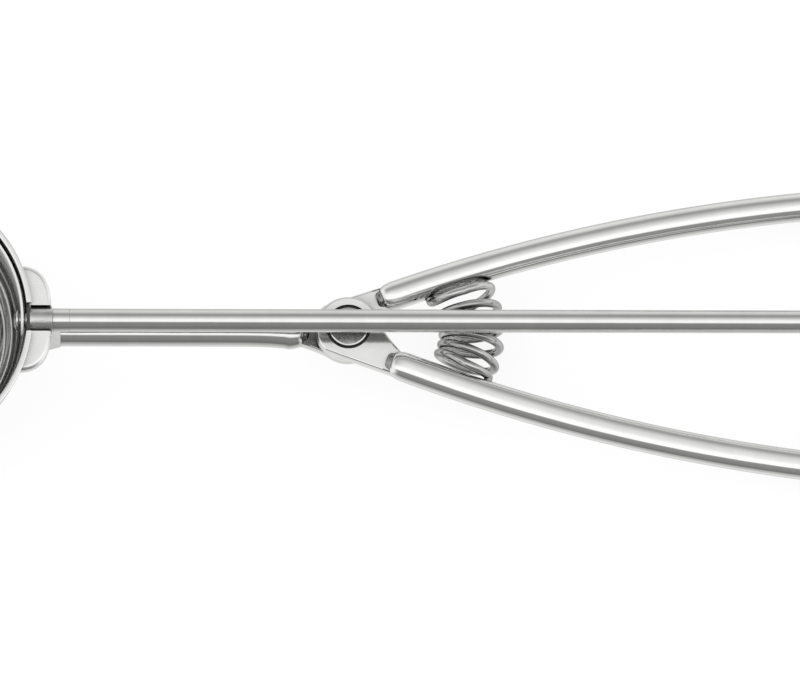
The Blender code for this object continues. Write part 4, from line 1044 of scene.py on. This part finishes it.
def neck_outline(depth):
    """The cover's plan, set in by a depth: broad at the bowl, with round corners."""
    width, front = NECK_HALF - depth, NECK_FRONT - depth
    corner = [Vector((front - NECK_CORNER * back, width * out)) for back, out in CORNER_PULLS]
    half = [Vector((front, 0.0)), Vector((front, 0.12 * width))]
    half += [bezier(*corner, k / CORNER_STEPS) for k in range(CORNER_STEPS + 1)]
    half.append(Vector((NECK_BACK - depth, width)))
    return half + [Vector((p.x, -p.y)) for p in reversed(half[1:])]


def trough(radius, start, end, top, lean=0.0):
    """A bar along the shaft's line: round below, with sides above that may lean in."""
    outline = []
    for i in range(TROUGH_STEPS + 1):
        turn = -math.pi * i / TROUGH_STEPS
        outline.append(Vector((radius * math.cos(turn), SHAFT_HEIGHT + radius * math.sin(turn))))
    outline += [Vector((lean - radius, top)), Vector((radius - lean, top))]
    rings = [[Vector((start, 0, SHAFT_HEIGHT))]]
    rings += [[Vector((x, p.x, p.y)) for p in outline] for x in (start, end)]
    rings.append([Vector((end, 0, SHAFT_HEIGHT))])
    bm = bmesh.new()
    skin(bm, rings, 8 * radius)
    return body("trough", bm)


neck = plate("neck_plate", neck_outline(0), NECK_TOP - NECK_SKIRT, NECK_TOP, 0.05, NECK_EDGE, 8)
under_side = NECK_TOP - 2 * NECK_SKIRT
cut(neck, plate("hollow", neck_outline(NECK_SHEET), under_side, NECK_TOP - NECK_SHEET, 0.05, 0.3, 4))
join(neck, trough(SLOT + CRADLE_WALL, NECK_BACK + 0.1, NECK_FRONT - 0.12, NECK_TOP - 0.1))
cut(neck, trough(SLOT, NECK_BACK - 1, NECK_FRONT + 1, NECK_TOP + 1, SLOT_LEAN))
# The side that is trimmed here stays open, a gap away from the bowl's wall
cut(neck, ball(BOWL + GAP))
settle(neck, "neck_plate", "satin", 40)

# %% [markdown]
# The shaft's bush and the sleeve in front of it are short pieces of tube. A rod could be bored,
# but turning a closed profile gives the bore and its eased edges at once. The socket is another
# piece of tube, on the spine's line. It tapers at its free end and was soldered to the bowl. It
# is drawn matt and nearly white with little metal, a painted highlight.

# %% Bush, sleeve and socket
SLEEVE_LENGTH = 3.2
SOCKET_WALL = 0.6
SOCKET_LENGTH = 6.375
SOCKET_END = WALL_OUTSIDE + SOCKET_LENGTH


def bush(name, inner, outer, start, end, ease=0.12):
    """A tube about the shaft's line."""
    profile = [(inner, start), (outer, start), (outer, end), (inner, end), (inner, start)]
    return turned(name, profile, "X", SHAFT_LINE, 96, ease)


settle(bush("shaft_collar", JOURNAL + RUNNING, COLLAR, WALL_OUTSIDE - 0.05, NECK_FRONT + 0.25),
       "shaft_collar", "worn_bush")
sleeve_start = NECK_FRONT + GAP
body_start = sleeve_start + SLEEVE_LENGTH + GAP
settle(bush("thrust_sleeve", JOURNAL + RUNNING, SHAFT + 0.03, sleeve_start, body_start, 0.06),
       "thrust_sleeve", "polished_bar")

socket_bore = BAR + RUNNING
socket_outer = socket_bore + SOCKET_WALL
socket = turned("spine_socket", [
    (socket_bore, BURIED_END), (socket_outer, BURIED_END), (socket_outer, NECK_FRONT - 0.2),
    (socket_outer - 0.25, NECK_FRONT + 0.7), (socket_bore + 0.04, SOCKET_END),
    (socket_bore, SOCKET_END), (socket_bore, BURIED_END),
], "X", (0, 0, LEVELS["spine"]), 96, 0.12)
settle(cut(socket, ball(BOWL + GAP)), "spine_socket", "white_painted_highlight")

# %% [markdown]
# ## The pivot
#
# One rivet holds the three tabs. Its head was peened flush into the counterbore and ground
# almost flat, and its narrow chamfer shows as a bright ring. Its foot spreads under a washer. A
# bevelled cylinder would do from afar, but a turned profile also gives the head's slight dome.

# %% Pivot rivet and washer
RIVET_FOOT = 3.2
RIVET_FOOT_HEIGHT = 1.0
HEAD_CHAMFER = 0.28
WASHER = 4.8
WASHER_THICKNESS = 0.8
head_seat = COUNTERBORE_FLOOR + GAP
washer_top = -STACK_TOP - GAP
washer_bottom = washer_top - WASHER_THICKNESS
foot_seat = washer_bottom - GAP


def bright_edge(middle, normal):
    """Picks the chamfer round the rivet's head, which stays bright."""
    outer = math.hypot(middle.x, middle.y) > RIVET_HEAD - HEAD_CHAMFER - FLAT_SLACK
    return outer and middle.z > STACK_TOP - 0.03


settle(turned("pivot_rivet", [
    (0, foot_seat - RIVET_FOOT_HEIGHT), (RIVET_FOOT * 0.7, foot_seat - 0.9),
    (RIVET_FOOT, foot_seat - 0.3), (RIVET_FOOT, foot_seat), (RIVET_SHANK, foot_seat),
    (RIVET_SHANK, head_seat), (RIVET_HEAD, head_seat), (RIVET_HEAD, STACK_TOP - 0.02),
    (RIVET_HEAD - HEAD_CHAMFER, STACK_TOP + 0.08), (2.0, STACK_TOP + 0.12), (0, STACK_TOP + 0.14),
], "Z", (0, 0, 0), 128, 0.06), "pivot_rivet", "rivet", marks=[("polished_bar", bright_edge)])
settle(turned("pivot_washer", [
    (RIVET_SHANK + GAP, washer_bottom), (WASHER, washer_bottom), (WASHER, washer_top),
    (RIVET_SHANK + GAP, washer_top), (RIVET_SHANK + GAP, washer_bottom),
], "Z"), "pivot_washer", "satin")

# %% [markdown]
# ## Shaft and blade
#
# The shaft is turned from 4.8 mm rod: a thinner journal runs in the bush, and a still thinner
# spigot goes through the blade's eye and is peened over. At the far end a ring sits in a
# groove, and a cross pin holds the pinion's hub. A row of cylinders would leave faces inside
# the steel, so the whole shaft is one profile turned about its line. Rings along its body keep
# the long faces from being needles.

# %% Shaft
BLADE = BOWL - BOWL_WALL - 0.45
BLADE_THICKNESS = 0.8
PIN_HEAD = 2.2
PIN_HEIGHT = 0.9
PINION_FACE = 5.6
HUB_LENGTH = 3.0
HUB = 4.0
YOKE_WALL = 2.0
RING_THICKNESS = 0.8
GROOVE = 0.5
SHAFT_TIP = 1.6
CROSS_PIN = 0.7
SHAFT_CHAMFER = 0.04
SHAFT_STEPS = 12
blade_outside = -BOWL_REACH + BLADE
inner_head = blade_outside - BLADE_THICKNESS - GAP
ring_start = DRIVE + PINION_FACE / 2 + HUB_LENGTH + 2 * GAP + YOKE_WALL + GAP
groove_end = ring_start + RING_THICKNESS + GAP
shaft_end = ring_start + RING_THICKNESS + 2 * GAP + SHAFT_TIP
pin_station = DRIVE + PINION_FACE / 2 + HUB_LENGTH / 2
long_reach = ring_start - GAP - body_start
long_body = [(SHAFT, body_start + long_reach * k / SHAFT_STEPS) for k in range(1, SHAFT_STEPS + 1)]
shaft = turned("shaft", [
    (0, inner_head - PIN_HEIGHT), (PIN_HEAD * 0.7, inner_head - PIN_HEIGHT),
    (PIN_HEAD, inner_head - PIN_HEIGHT * 0.4), (PIN_HEAD, inner_head), (SPIGOT, inner_head),
    (SPIGOT, blade_outside + GAP), (JOURNAL, blade_outside + GAP), (JOURNAL, body_start),
    (SHAFT - SHAFT_CHAMFER, body_start), (SHAFT, body_start + SHAFT_CHAMFER), *long_body,
    (SHAFT - GROOVE, ring_start - GAP), (SHAFT - GROOVE, groove_end), (SHAFT, groove_end),
    (SHAFT, shaft_end - GROOVE), (SHAFT - GROOVE, shaft_end), (0, shaft_end),
], "X", SHAFT_LINE)
pin_middle = Vector((pin_station, 0, SHAFT_HEIGHT))
cut(shaft, drill(CROSS_PIN + RUNNING, pin_middle - Vector((0, 0, 10)), pin_middle + Vector((0, 0, 10))))
settle(shaft, "shaft", "polished_bar")

# %% [markdown]
# The blade is a strip bent to half a ring, with round ends that hold the two pins. At rest it
# lies against the bowl's wall on the lever's side. The Simple Deform modifier could bend a flat
# strip, but its length would have to fit the half circle. Here rings of a small eased section
# are set along that half circle instead, and narrow to a round at both ends.

# %% Scraper blade
BLADE_WIDTH = 6.6
BLADE_SHEET = 0.55
BLADE_EASE = 0.16
END_STEPS, BEND_STEPS, EASE_STEPS = 14, 120, 4
END_SHORT = 0.2
half_width = BLADE_WIDTH / 2
middle_radius = BLADE - BLADE_SHEET / 2
blade_stations = []
# The outermost ring stops a part of a step short, so that it keeps a width
for i in range(END_STEPS, 0, -1):
    past = half_width * math.sin(math.pi / 2 * (i - END_SHORT) / END_STEPS)
    narrow = math.sqrt(half_width ** 2 - past ** 2)
    blade_stations.append((Vector((middle_radius, -past)), Vector((1, 0)), narrow))
for i in range(BEND_STEPS + 1):
    normal = toward(math.pi * i / BEND_STEPS)
    blade_stations.append((normal * middle_radius, normal, half_width))
for centre, normal, width in reversed(blade_stations[:END_STEPS]):
    blade_stations.append((Vector((-centre.x, centre.y)), Vector((-1, 0)), width))
section = []
for a, b in ((1, 1), (-1, 1), (-1, -1), (1, -1)):
    for k in range(EASE_STEPS + 1):
        turn = math.pi / 2 * k / EASE_STEPS
        leans = (math.cos(turn), math.sin(turn))
        lean_out, lean_up = leans if a * b > 0 else leans[::-1]
        section.append((a, b, a * (lean_out - 1) * BLADE_EASE, b * (lean_up - 1) * BLADE_EASE))
rings = []
for centre, normal, width in blade_stations:
    ring = []
    for a, b, thick_shift, wide_shift in section:
        flat = centre + normal * (a * BLADE_SHEET / 2 + thick_shift)
        high = b * width + wide_shift * min(1, width / BLADE_EASE)
        ring.append(BOWL_CENTRE + Vector((flat.x, flat.y, high)))
    rings.append(ring)
# A tip closes each end; the second stands before the last ring, which leaves a slit of 0.15 mm
for end, at in ((rings[0], 0), (rings[-1], len(rings))):
    rings.insert(at, [sum(end, Vector()) / len(end)])
bm = bmesh.new()
skin(bm, rings, 2 * (BLADE_WIDTH + BLADE_THICKNESS))
blade = body("scraper_blade", bm)
cut(blade, drill(SPIGOT + RUNNING, BOWL_CENTRE - ACROSS / 2, BOWL_CENTRE + ACROSS / 2))
settle(blade, "scraper_blade", "brushed")

# %% [markdown]
# The blade's far end turns on a short pin in the bowl's wall, peened over on both sides. Two
# balls on a rod would look too round for peened ends, so it is one turned profile.

# %% Far pin of the blade
pin_outside = -BOWL_REACH - BOWL - GAP
pin_inside = -BOWL_REACH - BLADE + BLADE_THICKNESS + GAP
settle(turned("blade_pivot_pin", [
    (0, pin_outside - PIN_HEIGHT), (PIN_HEAD * 0.7, pin_outside - PIN_HEIGHT * 0.85),
    (PIN_HEAD, pin_outside - PIN_HEIGHT * 0.3), (PIN_HEAD, pin_outside), (SPIGOT, pin_outside),
    (SPIGOT, pin_inside), (PIN_HEAD, pin_inside), (PIN_HEAD, pin_inside + PIN_HEIGHT * 0.4),
    (PIN_HEAD * 0.7, pin_inside + PIN_HEIGHT), (0, pin_inside + PIN_HEIGHT),
], "X", SHAFT_LINE, 64, 0.12), "blade_pivot_pin", "machined")

# %% [markdown]
# ## The return spring
#
# Hard-drawn 1.8 mm wire, five turns, fanned about a point just behind the pivot, with both ends
# led into holes in the bars. The Screw modifier makes a straight coil, and this one is fanned,
# so a round section is swept along a computed line instead.

# %% The line of the spring's wire
SPRING_CENTRE = 8.8
SPRING_REACH = 17.3
SPRING_ROOM = {1: 0.84, -1: 3.25}
SPRING_DIAMETER = 12.2
SPRING_START, SPRING_END = -0.5, 4.5
WIDEST = 0.25
SPRING_LEVEL = SHAFT_HEIGHT - SHAFT - (SPRING_DIAMETER + SPRING_WIRE) / 2 - 2 * GAP
TAIL_SWING = {1: 0.9, -1: 0.5}
TAIL_STANDOFF = 0.7
TAIL_APPROACH = 0.8
TAIL_STEPS = 30
TURN_STEPS = 54
HEADING_STEPS = 6
coil = SPRING_DIAMETER / 2


def widest_curl(side):
    """The direction from the fan's centre to the curl that lies beside a bar."""
    outer = SPRING_REACH + coil
    fan = Vector((SPRING_CENTRE, 0))
    spot = handle_point(handle_distance_at(outer, fan, side), side)[0] - fan
    return math.atan2(spot.y, spot.x) - side * (BAR + SPRING_WIRE / 2 + SPRING_ROOM[side]) / outer


first_angle, last_angle = widest_curl(-1), widest_curl(1)


def curl(turn):
    """A point of the coil after so many turns."""
    spin = 2 * math.pi * turn
    reach = SPRING_REACH + coil * math.sin(spin)
    angle = first_angle + (last_angle - first_angle) * (turn - WIDEST) / (SPRING_END - 2 * WIDEST)
    across = Vector((SPRING_CENTRE + reach * math.cos(angle), reach * math.sin(angle), SPRING_LEVEL))
    return across - Vector((0, 0, coil * math.cos(spin)))


def tail(side, start, before, level):
    """From the coil's end, round and straight into the bar."""
    point, heading = handle_point(handle_distance_at(TAIL_REACH[side]), side)
    centre = Vector((*point, level))
    outward = aside_of(heading).to_3d() * side
    end = centre - outward * SPRING_WIRE * 0.15
    mouth = centre - outward * (BAR + TAIL_STANDOFF)
    first = start + (start - before).normalized() * coil * TAIL_SWING[side]
    last = mouth - outward * TAIL_APPROACH
    bend = [bezier(start, first, last, mouth, k / TAIL_STEPS) for k in range(1, TAIL_STEPS + 1)]
    return bend + [mouth.lerp(end, 0.5), end]


spring_turns = SPRING_END - SPRING_START
fine_steps = round(spring_turns * TURN_STEPS)
coil_points = [curl(SPRING_START + spring_turns * i / fine_steps) for i in range(fine_steps + 1)]
lower_tail = tail(-1, coil_points[0], coil_points[HEADING_STEPS], LEVELS["fixed"])
upper_tail = tail(1, coil_points[-1], coil_points[-1 - HEADING_STEPS], LEVELS["lever"])
wire_line = list(reversed(lower_tail)) + coil_points + upper_tail
print("spring wire", round(sum((a - b).length for a, b in zip(wire_line, wire_line[1:]))), "mm long")

# %% [markdown]
# The sweep carries one sideways direction along the line and only tilts it as the line turns,
# so that the grain doesn't twist round the wire.

# %% Return spring
WIRE_SIDES = 24


def wire(name, points, diameter):
    """Sweeps a round section along a line, without twist."""
    rings = [[points[0]]]
    aside = (points[1] - points[0]).orthogonal().normalized()
    turns = [2 * math.pi * k / WIRE_SIDES for k in range(WIRE_SIDES)]
    for i, here in enumerate(points):
        way = (points[min(i + 1, len(points) - 1)] - points[max(i - 1, 0)]).normalized()
        aside = (aside - way * aside.dot(way)).normalized()
        up = way.cross(aside)
        rings.append([here + (aside * math.cos(t) + up * math.sin(t)) * diameter / 2 for t in turns])
    rings.append([points[-1]])
    bm = bmesh.new()
    skin(bm, rings, math.pi * diameter)
    return body(name, bm)


settle(wire("return_spring", wire_line, SPRING_WIRE), "return_spring", "spring", 40,
       ends=(wire_line[0], wire_line[-1]))

# %% [markdown]
# ## The drive at the handle ends
#
# A curved rack on the lever turns a small pinion on the shaft, and a cast yoke on the fixed
# handle carries the shaft's end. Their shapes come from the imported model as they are. Only
# their edges are eased here, because a cut or tumbled edge is never razor sharp.

# %% Drive parts with eased edges
SAME_POINT = 2e-6
FLAT_ANGLE = math.radians(2)
EDGE_ANGLE = math.radians(36)


def softened(node, finish, width):
    """A copy of a node with its edges eased, which stands for it."""
    bm = bmesh.new()
    bm.from_mesh(frame["nodes"][node].data)
    bmesh.ops.remove_doubles(bm, verts=bm.verts, dist=SAME_POINT)
    bmesh.ops.dissolve_limit(bm, angle_limit=FLAT_ANGLE, verts=bm.verts, edges=bm.edges)
    bmesh.ops.transform(bm, matrix=TOOL.inverted(), verts=bm.verts)
    item = mesh_object(node, bm)
    bevel = item.modifiers.new("Edges", "BEVEL")
    bevel.width = width * MM
    bevel.segments = 3
    bevel.limit_method = "ANGLE"
    bevel.angle_limit = EDGE_ANGLE
    bevel.use_clamp_overlap = True
    weigh = item.modifiers.new("Normals", "WEIGHTED_NORMAL")
    weigh.keep_sharp = True
    apply_modifiers(item)
    settle(item, node, finish)


softened("pinion_yoke", "cast", 0.35)
softened("rack", "cut", 0.12)
softened("pinion", "cut", 0.1)
softened("shaft_end_ring", "spring", 0.1)

# %% [markdown]
# Three small rivets with low round heads hold the rack and the yoke's foot. They start in the
# bar's round underside. Half a ball would stand too high for a head, so its low round is a
# turned profile. The cross pin is turned too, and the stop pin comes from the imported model.

# %% Small rivets and pins
SMALL_HEAD = 2.1
HEAD_PROFILE = ((1.0, 0.0), (1.0, 0.32), (0.75, 0.72), (0.3, 0.88), (0.0, 0.9))
YOKE_FOOT = 2.0


def small_rivet(node, place, level, seat):
    """A round-headed rivet through a bar."""
    foot = level - math.sqrt(BAR ** 2 - SMALL_RIVET ** 2)
    shank = [(0, foot), (SMALL_RIVET, foot), (SMALL_RIVET, seat)]
    head = [(SMALL_HEAD * share, seat + height) for share, height in HEAD_PROFILE]
    settle(turned(node, shank + head, "Z", (*place, 0), 64, 0.12), node, "machined")


on_lever = LEVELS["lever"] + BAR + GAP
on_foot = LEVELS["fixed"] + BAR + GAP + YOKE_FOOT + GAP
small_rivet("rack_rivet", rack_seat, LEVELS["lever"], on_lever)
small_rivet("yoke_rivet_front", yoke_rivets[0], LEVELS["fixed"], on_foot)
small_rivet("yoke_rivet_rear", yoke_rivets[1], LEVELS["fixed"], on_foot)
pin_half = HUB - 0.1
pin_profile = [(0, -pin_half), (CROSS_PIN, -pin_half), (CROSS_PIN, pin_half), (0, pin_half)]
settle(turned("pinion_pin", pin_profile, "Z", pin_middle, 48, 0.1), "pinion_pin", "machined")
softened("rack_stop_pin", "machined", 0.08)

# %% [markdown]
# ## Camera
#
# The photograph looks down on the tool from about 13 degrees off the upright, with a long
# lens. A Track To constraint would aim a camera, but not to the pixel. So the camera was fitted
# in the tool's own frame to the outlines of the handles, the shaft and the bowl.

# %% Camera
PICTURE_WIDTH, PICTURE_HEIGHT = 800, 687
SENSOR = 36.0
DISTANCE = 1712.9
MM_PER_PIXEL = 0.2097
TARGET = Vector((10.0, 0.0, 3.0))
TARGET_PIXEL = (396.14, 326.92)
ELEVATION, AZIMUTH, ROLL = 76.98, -11.46, 11.30
elevation, azimuth, roll = (math.radians(degrees) for degrees in (ELEVATION, AZIMUTH, ROLL))
back = Vector((math.sin(azimuth) * math.cos(elevation), -math.cos(azimuth) * math.cos(elevation),
               math.sin(elevation)))
level_right = Vector((math.cos(azimuth), math.sin(azimuth), 0))
level_up = back.cross(level_right)
right = level_right * math.cos(roll) + level_up * math.sin(roll)
upward = back.cross(right)
aim = TARGET + right * (PICTURE_WIDTH / 2 - TARGET_PIXEL[0]) * MM_PER_PIXEL
aim -= upward * (PICTURE_HEIGHT / 2 - TARGET_PIXEL[1]) * MM_PER_PIXEL
turn = Matrix((right, upward, back)).transposed().to_4x4()
camera_data = bpy.data.cameras.new("camera")
camera_data.sensor_width = SENSOR
camera_data.lens = SENSOR * DISTANCE / MM_PER_PIXEL / PICTURE_WIDTH
camera = linked("camera", camera_data)
camera.matrix_world = TOOL @ Matrix.Translation((aim + back * DISTANCE) * MM) @ turn
bpy.context.scene.camera = camera
bpy.context.scene.view_settings.view_transform = "Standard"
print("lens", round(camera_data.lens, 1), "mm")

# %% [markdown]
# ## Studio
#
# Polished steel has no colour of its own: it shows the room. The photograph was taken in a
# white tent that is open towards the photographer, so every bar shows a white side, a soft grey
# step and one crisp dark band. The world below is that tent. Its brightness depends on the
# direction about the tool's length, and reflections see it, while the camera sees plain white.
# Each row gives the level at an angle in degrees: 0 is straight above, 90 the lever's side, -90
# the other side and 180 straight below. Towards the tool's two ends the tent is an even pale
# grey. A ramp holds no more than 1, so the levels are halved in it and the strength is 2.

# %% The tent as the world
TENT = [
    (-180, 0.6), (-160, 0.8), (-140, 0.62), (-126, 0.5), (-114, 0.45), (-104, 0.21), (-90, 0.2),
    (-72, 0.24), (-50, 0.27), (-32, 0.3), (-25, 1.05), (-16, 1.18), (-4, 1.15), (4, 0.98), (12, 0.83),
    (20, 0.65), (30, 0.48), (40, 0.36), (50, 0.35), (61, 0.5), (73, 0.7), (86, 0.78), (100, 0.8),
    (110, 0.75), (122, 0.58), (150, 0.56),
]
TENT_STRENGTH = 2.0
END_FROM, END_TO = 0.55, 0.85
END_LEVEL = 0.9
world = bpy.data.worlds.new("white_tent")
bpy.context.scene.world = world
world.use_nodes = True
sky = world.node_tree
sky.nodes.clear()
direction = add(sky, "TexCoord").outputs["Generated"]
parts = {}
for key, axis in (("x", tool_x), ("y", tool_y), ("z", tool_z)):
    dot = add(sky, "VectorMath", {0: direction, 1: tuple(axis)}, operation="DOT_PRODUCT")
    parts[key] = dot.outputs["Value"]
angle = add(sky, "Math", {0: parts["y"], 1: parts["z"]}, operation="ARCTAN2")
share = add(sky, "MapRange", {0: angle.outputs[0], 1: -math.pi, 2: math.pi})
tent = add(sky, "ValToRGB", {0: share.outputs[0]})
stops = tent.color_ramp.elements
while len(stops) < len(TENT):
    stops.new(0.5)
for stop, (degrees, level) in zip(stops, TENT):
    stop.position = (degrees + 180) / 360
    stop.color = (*[level / TENT_STRENGTH] * 3, 1.0)
endwise = add(sky, "Math", {0: parts["x"]}, operation="ABSOLUTE")
sockets = {0: endwise.outputs[0], 1: END_FROM, 2: END_TO}
ends = add(sky, "MapRange", sockets, interpolation_type="SMOOTHSTEP")
grey = (*[END_LEVEL / TENT_STRENGTH] * 3, 1.0)
mixed = add(sky, "Mix", {0: ends.outputs[0], 6: tent.outputs[0], 7: grey}, data_type="RGBA")
reflected = add(sky, "Background", {"Color": mixed.outputs[2], "Strength": TENT_STRENGTH})
plain = add(sky, "Background", {"Color": (1, 1, 1, 1), "Strength": 1.0})
glossy = add(sky, "LightPath").outputs["Is Glossy Ray"]
choice = add(sky, "MixShader", {0: glossy, 1: plain.outputs[0], 2: reflected.outputs[0]})
add(sky, "OutputWorld", {"Surface": choice.outputs[0]})
print("tent levels:", len(TENT), "brightest:", max(level for _, level in TENT))

# %% [markdown]
# The floor is matt white card, which is nearly white in the picture and keeps a very faint
# shadow. Most of its white is a glow that only the camera sees, so it sends no light up to the
# steel. It lies a hair under the tool, and reflections see the tent instead of it.

# %% Floor
FLOOR_HALF = 1.6
FLOOR_STEPS = 8
FLOOR_DROP = 0.2
CARD_GLOW = 0.84
bm = bmesh.new()
bmesh.ops.create_grid(bm, x_segments=FLOOR_STEPS, y_segments=FLOOR_STEPS, size=FLOOR_HALF)
floor = mesh_object("floor", bm)
floor.location.z = -FLOOR_DROP * MM
paper = bpy.data.materials.new("matt_white_card")
paper.use_nodes = True
tree = paper.node_tree
card = tree.nodes["Principled BSDF"]
card.inputs["Base Color"].default_value = linear("7C7C7C")
card.inputs["Roughness"].default_value = 0.9
card.inputs["Specular IOR Level"].default_value = 0.0
glow = add(tree, "Emission", {"Color": (1, 1, 1, 1), "Strength": CARD_GLOW})
nothing = add(tree, "Emission", {"Color": (0, 0, 0, 1), "Strength": 0.0})
seen = add(tree, "LightPath").outputs["Is Camera Ray"]
lit = add(tree, "MixShader", {0: seen, 1: nothing.outputs[0], 2: glow.outputs[0]})
total = add(tree, "AddShader", {0: card.outputs[0], 1: lit.outputs[0]})
tree.links.new(total.outputs[0], tree.nodes["Material Output"].inputs["Surface"])
floor.data.materials.append(paper)
floor.visible_glossy = False
print("floor", 2 * FLOOR_HALF, "m wide")
